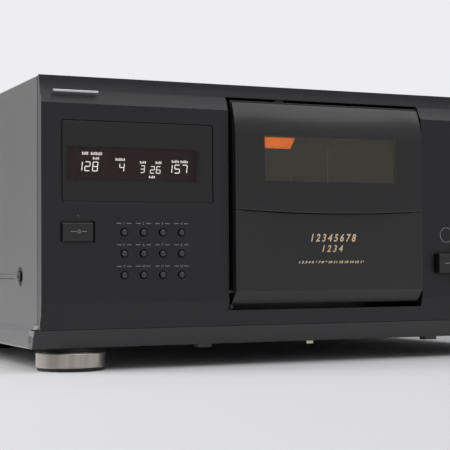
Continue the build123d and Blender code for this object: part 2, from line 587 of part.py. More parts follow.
def door_frame():
    """Lower skin, side walls, the carrier plate behind the window, pivot ears and a gear sector."""
    top = DOOR_SEAM - 0.4
    outer = polygon((DOOR_FACE, top), (DOOR_FACE, DOOR_BEVEL_TOP), (FRONT + DOOR_BEVEL_BACK, DOOR_BOTTOM),
                    (FRONT + DOOR_DEPTH, DOOR_BOTTOM), (FRONT + DOOR_DEPTH, top))
    ceiling = top - WALL - SEAM_DIP
    inner = polygon((DOOR_FACE + WALL, ceiling), (DOOR_FACE + WALL, DOOR_BEVEL_TOP + 1),
                    (FRONT + DOOR_BEVEL_BACK + 1.6, DOOR_BOTTOM + WALL),
                    (FRONT + DOOR_DEPTH + 1, DOOR_BOTTOM + WALL), (FRONT + DOOR_DEPTH + 1, ceiling))
    door = along_x(outer, -DOOR_X, DOOR_X) - along_x(inner, -DOOR_X + DOOR_SIDE, DOOR_X - DOOR_SIDE)
    door -= along_y(seam_band(-0.4, 10), DOOR_FACE - 1, PANE_BACK)
    door += block(-DOOR_X, DOOR_X, PANE_BACK, PANE_BACK + PANE, top - WALL, DOOR_TOP)
    door += block(-DOOR_X, DOOR_X, PANE_BACK, FRONT + DOOR_DEPTH, PANE_TOP + 0.1, DOOR_TOP)
    for side in (-1, 1):
        wall = sorted((side * (DOOR_X - DOOR_SIDE), side * DOOR_X))
        door += block(*wall, PANE_BACK, FRONT + DOOR_DEPTH, top - WALL, DOOR_TOP)
        door += rod_x(EAR_R, *wall, PIVOT_Y, PIVOT_Z)
    door -= block(-CLEAR_X, CLEAR_X, PANE_BACK - 1, PANE_BACK + PANE + 1, *CLEAR_Z)
    reach = SECTOR_TEETH * DOOR_MODULE
    wedge = polygon((0, 0), (reach, reach * 0.15), (reach, 0), (reach, -reach),
                    (reach * 0.06, -reach))
    sector = Pos(PIVOT_Y, PIVOT_Z) * (gear_face(SECTOR_TEETH, DOOR_MODULE) & wedge)
    door += along_x(sector, -DOOR_X, -DOOR_X + DOOR_SIDE)
    return door - rod_x(PIVOT_PIN_R + RUN, -DOOR_X - 1, DOOR_X + 1, PIVOT_Y, PIVOT_Z)


def window_section(z, face, bulge, inset, back):
    """One level of the window: straight back and sides, and a front that bulges in plan."""
    x = DOOR_X - inset
    with BuildSketch(Plane.XY.offset(z)) as level:
        with BuildLine():
            Line((-x, back), (-x, face + inset))
            ThreePointArc((-x, face + inset), (0, face + inset - bulge), (x, face + inset))
            Line((x, face + inset), (x, back))
            Line((x, back), (-x, back))
        make_face()
    return level.sketch


def door_window():
    """Smoked pane that bulges forward at its lower edge and rolls back at its top."""
    start = DOOR_SEAM - SEAM_DIP
    rise = PANE_TOP - start
    outer = []
    hollow = []
    for share in (0, 0.35, 0.6, 0.7, 0.78, 0.86, 0.93, 1):
        turned = max(0.0, (share - PANE_ROLL) / (1 - PANE_ROLL))
        back = DOOR_FACE + ROLL_BACK * turned ** 2
        bulge = (BULGE_PROUD - DOOR_PROUD) * (1 - 0.96 * share ** 2)
        z = start + share * rise
        inner_z = start - 0.5 + share * (rise - PANE + 0.5)
        inner_back = DOOR_FACE + (ROLL_BACK - PANE) * turned ** 2
        outer.append(window_section(z, back, bulge, 0.0, PANE_BACK))
        hollow.append(window_section(inner_z, inner_back, bulge, PANE, PANE_BACK + 1))
    pane = loft(outer, ruled=True) - loft(hollow, ruled=True)
    pane -= along_y(seam_band(-10, 0), DOOR_FACE - BULGE_PROUD, PANE_BACK + 1)
    floor = window_section(start, DOOR_FACE, BULGE_PROUD - DOOR_PROUD, 0.6, PANE_BACK)
    lip = extrude(floor, SEAM_DIP + PANE, dir=(0, 0, 1))
    return pane + (lip & along_y(seam_band(0, PANE), DOOR_FACE - BULGE_PROUD, PANE_BACK + 1))


def hinge_pins():
    inner, outer = DOOR_X - DOOR_SIDE, CHEEK_X + CHEEK
    return [rod_x(PIVOT_PIN_R, *ends, PIVOT_Y, PIVOT_Z) for ends in ((-outer, -inner), (inner, outer))]


def bay_frame():
    """Cheeks at both sides of the opening, joined by a beam above and one below."""
    front, top = FRONT + PANEL_RETURN + 0.3, BAY_TOP + CHEEK
    cheek = polygon((PANEL_BACK + FIT, SLOPE_Z + 2), (PANEL_BACK + FIT, COVE_Z + 1), (front, top),
                    (CHEEK_BACK, top), (CHEEK_BACK, BAY_LOW + 6), (CHEEK_BACK - 8, BAY_LOW),
                    (FRONT + 9, BAY_LOW), (FRONT + 9, BAY_LOW + 6))
    frame = block(-CHEEK_X - 1, CHEEK_X + 1, front, CHEEK_BACK, BAY_TOP, top)
    frame += block(-CHEEK_X - 1, CHEEK_X + 1, FRONT + 9, FRONT + 22, BAY_LOW, BAY_LOW + CHEEK)
    for side in (-1, 1):
        frame += along_x(cheek, *sorted((side * CHEEK_X, side * (CHEEK_X + CHEEK))))
    frame -= rod_x(PIVOT_PIN_R + SEAT, -CHEEK_X - CHEEK - 1, CHEEK_X + CHEEK + 1, PIVOT_Y, PIVOT_Z)
    return frame - rod_x(4.0, -CHEEK_X - CHEEK - 1, -CHEEK_X + 1, GEAR_Y, PIVOT_Z)


POINTER_X = 11.5 - CLEAR_X              # the pointer's upper left corner
POINTER_TOP = CLEAR_Z[1] - 4.2
POINTER_W = 25.8
POINTER_H = 9.3
POINTER_Y = (FRONT + 9.5, FRONT + 11.5)


def slot_pointer():
    """Orange translucent tab that marks the slot at the door, moulded with its hanger."""
    low = POINTER_TOP - POINTER_H
    tab = polygon((POINTER_X, POINTER_TOP), (POINTER_X + POINTER_W, POINTER_TOP),
                  (POINTER_X + POINTER_W - 4.5, low), (POINTER_X + 1.0, low))
    middle = POINTER_X + POINTER_W / 2
    hanger = block(middle - 3, middle + 3, *POINTER_Y, POINTER_TOP - 0.7, BAY_TOP - FIT)
    return along_y(tab, *POINTER_Y) + hanger


def door_gear():
    turn = 180 + 180 / DOOR_GEAR_TEETH
    outline = Pos(GEAR_Y, PIVOT_Z) * gear_face(DOOR_GEAR_TEETH, DOOR_MODULE, turn)
    gear = along_x(outline, -DOOR_X, -DOOR_X + DOOR_SIDE)
    return gear + rod_x(PIVOT_PIN_R, -CHEEK_X - CHEEK - 12, -DOOR_X + 0.5, GEAR_Y, PIVOT_Z)


def door_motor():
    start = -CHEEK_X - CHEEK - FIT
    can = rod_x(MOTOR_R, start - MOTOR_LEN, start, GEAR_Y, PIVOT_Z)
    flat = block(start - MOTOR_LEN - 1, start + 1, GEAR_Y - 20, GEAR_Y + 20, PIVOT_Z - 7.5, PIVOT_Z + 7.5)
    can = (can & flat) + rod_x(3.0, start - 1, -CHEEK_X - 0.5, GEAR_Y, PIVOT_Z)
    return can - rod_x(PIVOT_PIN_R + RUN, start - 14, start + 9, GEAR_Y, PIVOT_Z)


# ---------------------------------------------------------------- disc store
GEAR_LOW = FLOOR + 10.7                 # underside of the table's gear ring
RING_H = 8.0
WEB_LOW = GEAR_LOW + RING_H             # underside of the table's web
WEB = 2.0
DECK_TOP = WEB_LOW + WEB + SLOT_DEPTH + 2.0
SLOT_R = (TABLE_R - 90.0, TABLE_R - 29.0)           # the slots run between these radii
HUB_R = 53.0                            # fixed hub that the table's collar runs on
HUB_WALL = 5.0
TABLE_TEETH = 100
PINION_TEETH = 16
TABLE_MODULE = 1.5
DRIVE_ANGLE = 30.0
PINION_AT = (TABLE_TEETH + PINION_TEETH) * TABLE_MODULE / 2
MOTOR_TOP = GEAR_LOW - 2.0
GLIDE_R = TABLE_R - 12.0
GLIDE_COUNT = 6
DISC_AXIS_Z = WEB_LOW + WEB + 2.0 + DISC_D / 2


def on_table(shape):
    return Pos(0, TABLE_Y, 0) * shape


def rotary_table():
    """A slotted deck on a web, with a gear ring and a bearing collar below."""
    slot = Pos(sum(SLOT_R) / 2, 0) * Rectangle(SLOT_R[1] - SLOT_R[0], SLOT_W)
    deck_face = Circle(TABLE_R) - Circle(SLOT_R[0] - 8)
    slots = Sketch() + [Rot(0, 0, 360 / SLOT_COUNT * n) * slot for n in range(SLOT_COUNT)]
    deck_low = DECK_TOP - SLOT_DEPTH
    deck = extrude(Pos(0, 0, deck_low) * (deck_face - slots), SLOT_DEPTH)
    base = extrude(Pos(0, 0, WEB_LOW) * (Circle(TABLE_R) - Circle(HUB_R + RUN)), deck_low - WEB_LOW)
    ring = extrude(Pos(0, 0, GEAR_LOW) * (gear_face(TABLE_TEETH, TABLE_MODULE, DRIVE_ANGLE)
                                          - Circle(TABLE_TEETH * TABLE_MODULE / 2 - 5)), WEB_LOW - GEAR_LOW)
    collar = extrude(Pos(0, 0, FLOOR + 8) * (Circle(HUB_R + 4) - Circle(HUB_R + RUN)), WEB_LOW - FLOOR - 8)
    return on_table(deck + base + ring + collar)


def table_base():
    """Moulded base under the table: hub, spokes, outer ring, glide posts and the motor's seat."""
    top = DECK_TOP - SLOT_DEPTH
    hub = extrude(Pos(0, 0, FLOOR) * (Circle(HUB_R) - Circle(HUB_R - HUB_WALL)), top - FLOOR)
    foot = extrude(Pos(0, 0, FLOOR) * (Circle(HUB_R + 6) - Circle(HUB_R - HUB_WALL)), 2.5)
    ring = extrude(Pos(0, 0, FLOOR) * (Circle(GLIDE_R + 6) - Circle(GLIDE_R - 6)), 2.5)
    base = hub + foot + ring
    for n in range(GLIDE_COUNT):
        turn = Rot(0, 0, 360 / GLIDE_COUNT * n)
        base += turn * block(HUB_R + 3, GLIDE_R - 4, -5, 5, FLOOR, FLOOR + 2.5)
        base += turn * rod_z(4.0, GLIDE_R, 0, FLOOR, WEB_LOW - 0.3)
    return on_table(base)


def at_drive(shape):
    angle = radians(DRIVE_ANGLE)
    return on_table(Pos(PINION_AT * cos(angle), PINION_AT * sin(angle), 0) * shape)


def table_pinion():
    turn = DRIVE_ANGLE + 180 + 180 / PINION_TEETH
    gear = extrude(Pos(0, 0, GEAR_LOW) * gear_face(PINION_TEETH, TABLE_MODULE, turn), WEB_LOW - GEAR_LOW - 1)
    return at_drive(gear + rod_z(PIVOT_PIN_R, 0, 0, MOTOR_TOP - 6, GEAR_LOW + 1))


def table_motor():
    can = rod_z(16.0, 0, 0, FLOOR, MOTOR_TOP - 0.6)
    can += rod_z(4.0, 0, 0, MOTOR_TOP - 1, MOTOR_TOP + 0.8)
    return at_drive(can - rod_z(PIVOT_PIN_R + RUN, 0, 0, MOTOR_TOP - 7, MOTOR_TOP + 2))


# ---------------------------------------------------------------- disc drive in the middle of the table
SPINDLE_Z = DISC_AXIS_Z
PLATE_Y = 12.0                          # drive plate, behind the plane of the playing disc
PLATE = 2.0
PLATE_X = 36.0
PLATE_TOP = SPINDLE_Z + 65.0
BASE_R = HUB_R - HUB_WALL - 1.5
CLAMP_R = 13.0                          # turntable and clamper
RAIL_X = 12.0
RAIL_Y = 8.0
RAIL_R = 1.5
RAIL_Z = (FLOOR + 6.7, SPINDLE_Z - 5.0)
SLED_Z = (SPINDLE_Z - 34.0, SPINDLE_Z - 16.0)
SLED_TRAVEL = 33.0
SLED_TEETH = 12
RACK_PITCH_X = 19.0
SLED_GEAR_Z = SPINDLE_Z - 37.0
ARM_PIVOT_Y = -8.0
ARM_PIVOT_Z = SPINDLE_Z + 58.0
ARM_HALF = 8.0
ARM_Y = (-9.2, -6.8)


def tower_frame():
    """Base, upright plate with the pickup's window, rail lugs, gear stud and the arm's bracket."""
    y0, y1 = PLATE_Y, PLATE_Y + PLATE
    tower = rod_z(BASE_R, 0, 0, FLOOR, FLOOR + 3)
    tower += block(-PLATE_X, PLATE_X, y0, y1, FLOOR + 1, PLATE_TOP)
    for side in (-1, 1):
        tower += along_x(polygon((y1, FLOOR + 3), (y1 + 16, FLOOR + 3), (y1, FLOOR + 55)),
                         *sorted((side * PLATE_X, side * (PLATE_X - PLATE))))
    tower -= block(-RAIL_X + 5, RAIL_X - 5, y0 - 1, y1 + 1, FLOOR + 14.7, SPINDLE_Z - 18)
    for z in (RAIL_Z[0], RAIL_Z[1] - 4):
        for side in (-1, 1):
            x = side * RAIL_X
            tower += block(x - 3, x + 3, RAIL_Y - 3, y0 + 0.5, z, z + 4)
            tower -= rod_z(RAIL_R + SEAT, x, RAIL_Y, z - 1, z + 5)
    tower -= rod_y(4.0, 0, y0 - 1, y1 + 1, SPINDLE_Z)
    gear_x = RACK_PITCH_X + SLED_TEETH / 2
    tower += rod_y(PIVOT_PIN_R, gear_x, RAIL_Y - 4, y0 + 0.5, SLED_GEAR_Z)
    tower += block(-16, 16, ARM_PIVOT_Y - 5, y1, PLATE_TOP - 3, PLATE_TOP)
    for side in (-1, 1):
        lug = sorted((side * 12, side * 15))
        tower += block(*lug, ARM_PIVOT_Y - 4, ARM_PIVOT_Y + 4, ARM_PIVOT_Z - 4, PLATE_TOP - 2)
    return on_table(tower + rod_x(PIVOT_PIN_R, -13, 13, ARM_PIVOT_Y, ARM_PIVOT_Z))


def spindle_motor():
    start = PLATE_Y + PLATE + FIT
    can = rod_y(CLAMP_R, 0, start, start + 12, SPINDLE_Z) + rod_y(3.5, 0, start - 5, start + 1, SPINDLE_Z)
    return on_table(can - rod_y(1.0 + RUN, 0, start - 6, start + 8, SPINDLE_Z))


def turntable():
    """Flanged platter with a centring cone for the disc's hole, on the motor's shaft."""
    face = DISC_T / 2 + 0.3
    plate = rod_y(CLAMP_R, 0, face, face + 2.2, SPINDLE_Z)
    cone = Pos(0, face - 0.9, SPINDLE_Z) * Rot(90, 0, 0) * Cone(7.2, 5.8, 1.8)
    return on_table(plate + cone + rod_y(1.0, 0, face + 1, PLATE_Y + 8, SPINDLE_Z))


def sled_rails():
    return [on_table(rod_z(RAIL_R, side * RAIL_X, RAIL_Y, RAIL_Z[0] - 1, RAIL_Z[1] + 1)) for side in (-1, 1)]


def pickup_sled():
    """Die-cast carrier on two rails, with the lens in its round cup and a rack down one side."""
    sled = block(-RAIL_X - 3.5, RAIL_X + 3.5, RAIL_Y - 4, RAIL_Y + 3.4, *SLED_Z)
    sled -= block(-6, 6, RAIL_Y - 1, RAIL_Y + 5, SLED_Z[0] - 1, SLED_Z[1] - 4)
    middle = sum(SLED_Z) / 2
    sled += rod_y(5.0, 0, RAIL_Y - 5.2, RAIL_Y - 3.5, middle)
    sled += Pos(0, RAIL_Y - 5.2, middle) * Sphere(1.6)
    for side in (-1, 1):
        sled -= rod_z(RAIL_R + RUN, side * RAIL_X, RAIL_Y, SLED_Z[0] - 1, SLED_Z[1] + 1)
    low, high = SLED_GEAR_Z - 4, SLED_GEAR_Z + SLED_TRAVEL + 4
    teeth = [(RAIL_X + 3.2, low)]
    step = pi
    first = SLED_GEAR_Z - step
    for n in range(int((high - first) / step)):
        z = first + n * step
        for dx, dz in ((-1.1, -0.29), (0.8, -0.11), (0.8, 0.11), (-1.1, 0.29)):
            teeth.append((RACK_PITCH_X + dx, z + dz * step))
    teeth += [(RACK_PITCH_X - 1.1, high), (RAIL_X + 3.2, high)]
    teeth.insert(1, (RACK_PITCH_X - 1.1, low))
    return on_table(sled + along_y(polygon(*teeth), RAIL_Y - 3, RAIL_Y + 2))


def sled_gear():
    x = RACK_PITCH_X + SLED_TEETH / 2
    outline = Pos(x, SLED_GEAR_Z) * gear_face(SLED_TEETH, 1.0, 180 + 180 / SLED_TEETH)
    gear = along_y(outline, RAIL_Y - 3, RAIL_Y + 2)
    return on_table(gear - rod_y(PIVOT_PIN_R + RUN, x, RAIL_Y - 5, RAIL_Y + 4, SLED_GEAR_Z))


def clamp_arm():
    arm = block(-ARM_HALF, ARM_HALF, *ARM_Y, SPINDLE_Z, ARM_PIVOT_Z)
    arm += rod_y(ARM_HALF, 0, *ARM_Y, SPINDLE_Z)
    arm += rod_x(3.6, -ARM_HALF - 3, ARM_HALF + 3, ARM_PIVOT_Y, ARM_PIVOT_Z)
    arm += block(-1, 1, ARM_Y[0] - 3, ARM_Y[0] + 1, SPINDLE_Z + 14, ARM_PIVOT_Z - 5)
    arm -= rod_x(PIVOT_PIN_R + RUN, -20, 20, ARM_PIVOT_Y, ARM_PIVOT_Z)
    return on_table(arm - rod_y(3.0 + RUN, 0, ARM_Y[0] - 1, ARM_Y[1] + 1, SPINDLE_Z))


def clamper():
    face = -DISC_T / 2 - 0.6
    puck = rod_y(CLAMP_R, 0, face - 2.4, face, SPINDLE_Z)
    puck += rod_y(3.0, 0, ARM_Y[0] - 0.3, face - 1, SPINDLE_Z)
    return on_table(puck + rod_y(5.0, 0, ARM_Y[0] - 1.8, ARM_Y[0] - 0.3, SPINDLE_Z))


LEVER_X = -TABLE_R - 14.0
LEVER_Z = FLOOR + 46.7
LEVER_LEN = 52.0
LOADER_X = (-TABLE_R - 26.0, -TABLE_R - 3.0)
LOADER_TOP = LEVER_Z - 10.0


def loading_motor():
    """Gearbox with two ears that carry the lever's pin."""
    box = block(*LOADER_X, -14, 14, FLOOR, LOADER_TOP)
    for side in (-1, 1):
        ear = sorted((side * 2.2, side * 6))
        box += block(LEVER_X - 6, LEVER_X + 6, *ear, LOADER_TOP - 2, LEVER_Z + 6)
    return on_table(box + rod_y(PIVOT_PIN_R, LEVER_X, -5, 5, LEVER_Z))


def loading_lever():
    """Thin curved finger that pushes a disc out of its slot towards the drive."""
    tip = LEVER_Z + LEVER_LEN
    with BuildSketch() as outline:
        with BuildLine():
            Line((LEVER_X - 3.4, LEVER_Z), (LEVER_X - 6, tip - 4))
            ThreePointArc((LEVER_X - 6, tip - 4), (LEVER_X - 2, tip), (LEVER_X + 1, tip - 3))
            middle = (LEVER_X - 1.0, LEVER_Z + LEVER_LEN / 2)
            ThreePointArc((LEVER_X + 1, tip - 3), middle, (LEVER_X + 3.4, LEVER_Z))
            Line((LEVER_X + 3.4, LEVER_Z), (LEVER_X - 3.4, LEVER_Z))
        make_face()
    lever = along_y(outline.sketch, -DISC_T / 2, DISC_T / 2) + rod_y(4.0, LEVER_X, -1.9, 1.9, LEVER_Z)
    return on_table(lever - rod_y(PIVOT_PIN_R + RUN, LEVER_X, -3, 3, LEVER_Z))


# ---------------------------------------------------------------- electrics
TRAFO_X = (10.5 - TRAY_X, 66.5 - TRAY_X)
TRAFO_Y = (REAR_FACE - 60.5, REAR_FACE - 12.5)
MAIN_BOARD_X = TRAY_X - SHEET - 6.0
MAIN_BOARD_Y = (FRONT + 96.0, REAR_FACE - 42.5)
MAIN_BOARD_Z = (FLOOR + 8.7, FLOOR + 108.7)


def transformer():
    """Laminated core on its strap feet, with the winding standing out above and below."""
    mid_y = sum(TRAFO_Y) / 2
    core = block(*TRAFO_X, mid_y - 12, mid_y + 12, FLOOR + 1.5, FLOOR + 44)
    coil = block(TRAFO_X[0] + 12, TRAFO_X[1] - 12, *TRAFO_Y, FLOOR + 9, FLOOR + 36)
    strap = block(TRAFO_X[0] - 3, TRAFO_X[1] + 3, mid_y - 9, mid_y + 9, FLOOR, FLOOR + 1.5)
    return core + fillet(coil.edges().filter_by(Axis.X), 5) + strap


def main_board():
    """Board along the right wall on four posts, with a heat sink and capacitors."""
    board = block(MAIN_BOARD_X - BOARD_T, MAIN_BOARD_X, *MAIN_BOARD_Y, *MAIN_BOARD_Z)
    for y in (MAIN_BOARD_Y[0] + 8, MAIN_BOARD_Y[1] - 8):
        for z in (MAIN_BOARD_Z[0] + 6, MAIN_BOARD_Z[0] + 36):
            board += rod_x(2.5, MAIN_BOARD_X - 0.5, TRAY_X - SHEET, y, z)
    inner = MAIN_BOARD_X - BOARD_T + 0.2
    y, top = MAIN_BOARD_Y[1] - 90, MAIN_BOARD_Z[1]
    board += block(inner - 3, inner, y, y + 36, top - 54, top - 14)
    for n in range(7):
        board += block(inner - 9, inner - 2, y + n * 5.5, y + n * 5.5 + 1.5, top - 54, top - 14)
    for n in range(4):
        board += rod_x(4.5, inner - 12, inner, MAIN_BOARD_Y[0] + 35 + n * 16, top - 24)
    y = MAIN_BOARD_Y[0] + 65
    for z in (MAIN_BOARD_Z[0] + 12, MAIN_BOARD_Z[0] + 42):
        board += block(inner - 2.5, inner, y, y + 24, z, z + 18)
    return board


def phono_jacks():
    """Two phono jacks: a moulded body behind the panel, a turned sleeve and a hole for the plug's pin."""
    inside = REAR_FACE - SHEET - FIT
    found = []
    for x in PHONO_X:
        jack = block(x - 7.8, x + 7.8, inside - 14, inside, PHONO_Z - 10, PHONO_Z + 10)
        jack += rod_y(PHONO_HOLE_R - 0.3, x, inside - 1, REAR_FACE + 0.8, PHONO_Z)
        end = REAR_FACE + JACK_PROUD
        jack += rod_y(PHONO_SLEEVE_R, x, inside, end, PHONO_Z)
        found.append(jack - rod_y(PHONO_PIN_R, x, end - PHONO_PIN_DEEP, end + 1, PHONO_Z))
    return found


def mini_jacks():
    """Two small control jacks, each with a round collar through the panel."""
    inside = REAR_FACE - SHEET - FIT
    found = []
    for x in MINI_X:
        jack = block(x - 6, x + 6, inside - 14, inside, MINI_Z - 6, MINI_Z + 6)
        jack += rod_y(MINI_HOLE_R - 0.3, x, inside - 1, REAR_FACE + MINI_PROUD, MINI_Z)
        found.append(jack - rod_y(MINI_R, x, REAR_FACE + MINI_PROUD - MINI_DEEP, REAR_FACE + 3, MINI_Z))
    return found


def mains_bushing():
    """Flanged sleeve in the rear panel that a mains cord would leave through."""
    sleeve = rod_y(BUSH_R, BUSH_X, REAR_FACE - 7, REAR_FACE + 5, BUSH_Z)
    sleeve += rod_y(BUSH_R + 2, BUSH_X, REAR_FACE + FIT, REAR_FACE + 2.5, BUSH_Z)
    return sleeve - rod_y(BUSH_BORE_R, BUSH_X, REAR_FACE - 8, REAR_FACE + 6, BUSH_Z)


# ---------------------------------------------------------------- write every piece
PIECES = {
    "top_cover": top_cover, "bottom_chassis": bottom_chassis, "rear_panel": rear_panel,
    "front_panel": front_panel, "base_moulding": base_moulding, "display_window": display_window,
    "display_tube": display_tube, "jog_dial": jog_dial, "door_frame": door_frame,
    "door_window": door_window, "bay_frame": bay_frame, "slot_pointer": slot_pointer,
    "door_gear": door_gear, "door_motor": door_motor, "rotary_table": rotary_table,
    "table_base": table_base, "table_pinion": table_pinion, "table_motor": table_motor,
    "tower_frame": tower_frame, "spindle_motor": spindle_motor, "turntable": turntable,
    "pickup_sled": pickup_sled, "sled_gear": sled_gear, "clamp_arm": clamp_arm, "clamper": clamper,
    "loading_motor": loading_motor, "loading_lever": loading_lever, "transformer": transformer,
    "main_board": main_board, "mains_bushing": mains_bushing,
}
GROUPS = {"case_screws": case_screws, "foot_screws": foot_screws, "foot_pads": foot_pads,
          "hinge_pins": hinge_pins, "sled_rails": sled_rails,
          "phono_jacks": phono_jacks, "mini_jacks": mini_jacks}

for name, make in PIECES.items():
    keep(name, make())
for name, make in GROUPS.items():
    keep(name, *make())
for name, side in (("left", -1), ("right", 1)):
    keep("front_foot_" + name, front_foot(side * FOOT_X))
    keep("rear_foot_" + name, rear_foot(side * REAR_FOOT_X))
for name, board in zip(("display_board", "key_board"), front_boards()):
    keep(name, board)
for name, x, z in key_places():
    keep(name, round_key(x, z))
keep("power_button", bar_button(*POWER_X, *POWER_Z, POWER_GAP, POWER_PROUD, POWER_TRAVEL))
for name, x0, x1 in bar_places():
    keep(name, bar_button(x0, x1, *BAR_Z, BAR_GAP, BAR_PROUD, BAR_TRAVEL))
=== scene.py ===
import bpy
from math import cos, sin, pi, radians
from mathutils import Matrix, Vector


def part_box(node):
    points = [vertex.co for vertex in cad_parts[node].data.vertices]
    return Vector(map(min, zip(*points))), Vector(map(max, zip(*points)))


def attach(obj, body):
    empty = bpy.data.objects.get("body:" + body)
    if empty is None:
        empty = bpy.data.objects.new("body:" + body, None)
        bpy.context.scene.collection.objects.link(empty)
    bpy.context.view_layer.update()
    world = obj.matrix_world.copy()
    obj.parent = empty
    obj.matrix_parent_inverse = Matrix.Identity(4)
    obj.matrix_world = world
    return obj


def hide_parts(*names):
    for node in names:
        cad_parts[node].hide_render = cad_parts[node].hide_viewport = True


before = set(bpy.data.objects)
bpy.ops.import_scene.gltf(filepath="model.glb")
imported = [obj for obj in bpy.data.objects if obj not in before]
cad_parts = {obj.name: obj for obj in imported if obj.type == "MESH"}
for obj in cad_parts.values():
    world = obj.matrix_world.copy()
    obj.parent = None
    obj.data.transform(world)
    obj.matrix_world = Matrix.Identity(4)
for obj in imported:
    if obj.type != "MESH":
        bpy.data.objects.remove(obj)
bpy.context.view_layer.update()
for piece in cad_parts.values():
    piece.select_set(False)

# ------------------------------------------------------------------ the table it was photographed on
# A pale seamless sheet laid on a table in a white room. The camera stands low and to the left, and two
# large soft lamps hang to the left and overhead.
MM = 0.001
FRONT_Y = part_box("front_panel")[0][1] / MM          # flat face of the front panel, in mm
EYE = Vector((-451.06, FRONT_Y - 820.31, 68.94)) * MM
LOOK = Vector((0.41079, 0.91089, 0.03905)).normalized()
HEAD_UP = Vector((-0.01005, -0.03830, 0.99922)).normalized()
LENS_MM = 104.645
SHEET_COLOUR = (0.68, 0.68, 0.685, 1)
BACKDROP = (0.855, 0.848, 0.880, 1)
ROOM_LIGHT = (0.05, 0.80)                           # light from the horizon and from overhead
ROOM_SHINE = (0.52, 1.0)                            # what a shiny surface sees low down and high up
DARK_SIDE = 0.45                                    # share of that shine on the room's left
SHEET_SHINE = (0.80, 0.80, 0.82, 1)                 # what a shiny surface sees of the sheet
SHEET_DARK_X = 0.20                                 # it sees none of it nearer the middle than this

bpy.ops.object.camera_add(location=EYE)
camera = bpy.context.object
camera.name = "camera"
turned = Matrix((LOOK.cross(HEAD_UP), HEAD_UP, -LOOK)).transposed().to_4x4()
camera.matrix_world = Matrix.Translation(EYE) @ turned
camera.data.lens = LENS_MM
camera.data.sensor_width = 36
camera.data.shift_y = -10 / 450
camera.data.clip_end = 50
bpy.context.scene.camera = camera
bpy.context.scene.view_settings.view_transform = "Standard"


def maths(tree, operation, first, second, third=None):
    """A maths node whose inputs are sockets or numbers; returns its output."""
    node = tree.nodes.new("ShaderNodeMath")
    node.operation = operation
    for place, value in enumerate((first, second, third)):
        if isinstance(value, bpy.types.NodeSocket):
            tree.links.new(value, node.inputs[place])
        elif value is not None:
            node.inputs[place].default_value = value
    return node.outputs[0]


def ramp(tree, value, start, end, low=0.0, high=1.0):
    """Turn a value between start and end into one between low and high; returns its output."""
    node = tree.nodes.new("ShaderNodeMapRange")
    for socket, number in (("From Min", start), ("From Max", end), ("To Min", low), ("To Max", high)):
        node.inputs[socket].default_value = number
    tree.links.new(value, node.inputs["Value"])
    return node.outputs["Result"]


def new_material(name):
    """A plain material; returns it with its tree and its shader."""
    material = bpy.data.materials.new(name)
    material.use_nodes = True
    return material, material.node_tree, material.node_tree.nodes["Principled BSDF"]


def add_sheet():
    """The sheet lies flat and keeps the object's shadow. What shines sees it pale, except under and
    behind the object, and only before its light has been scattered once."""
    bpy.ops.mesh.primitive_plane_add(size=9, location=(0, 0, -0.0002))
    sheet = bpy.context.object
    sheet.name = "table_sheet"
    material, tree, skin = new_material("sheet_paper")
    skin.inputs["Base Color"].default_value = SHEET_COLOUR
    skin.inputs["Roughness"].default_value = 0.9
    shine = tree.nodes.new("ShaderNodeEmission")
    shine.inputs["Color"].default_value = SHEET_SHINE
    shine.inputs["Strength"].default_value = 1.0
    rays = tree.nodes.new("ShaderNodeLightPath")
    spot = tree.nodes.new("ShaderNodeNewGeometry")
    split = tree.nodes.new("ShaderNodeSeparateXYZ")
    tree.links.new(spot.outputs["Position"], split.inputs["Vector"])
    beside = maths(tree, "GREATER_THAN", maths(tree, "ABSOLUTE", split.outputs["X"], None), SHEET_DARK_X)
    before = maths(tree, "LESS_THAN", split.outputs["Y"], FRONT_Y * MM)
    unscattered = maths(tree, "LESS_THAN", rays.outputs["Diffuse Depth"], 0.5)
    glossy = maths(tree, "MULTIPLY", unscattered, rays.outputs["Is Glossy Ray"])
    mix = tree.nodes.new("ShaderNodeMixShader")
    tree.links.new(maths(tree, "MULTIPLY", maths(tree, "MAXIMUM", beside, before), glossy), mix.inputs["Fac"])
    tree.links.new(skin.outputs["BSDF"], mix.inputs[1])
    tree.links.new(shine.outputs["Emission"], mix.inputs[2])
    tree.links.new(mix.outputs["Shader"], tree.nodes["Material Output"].inputs["Surface"])
    sheet.data.materials.append(material)


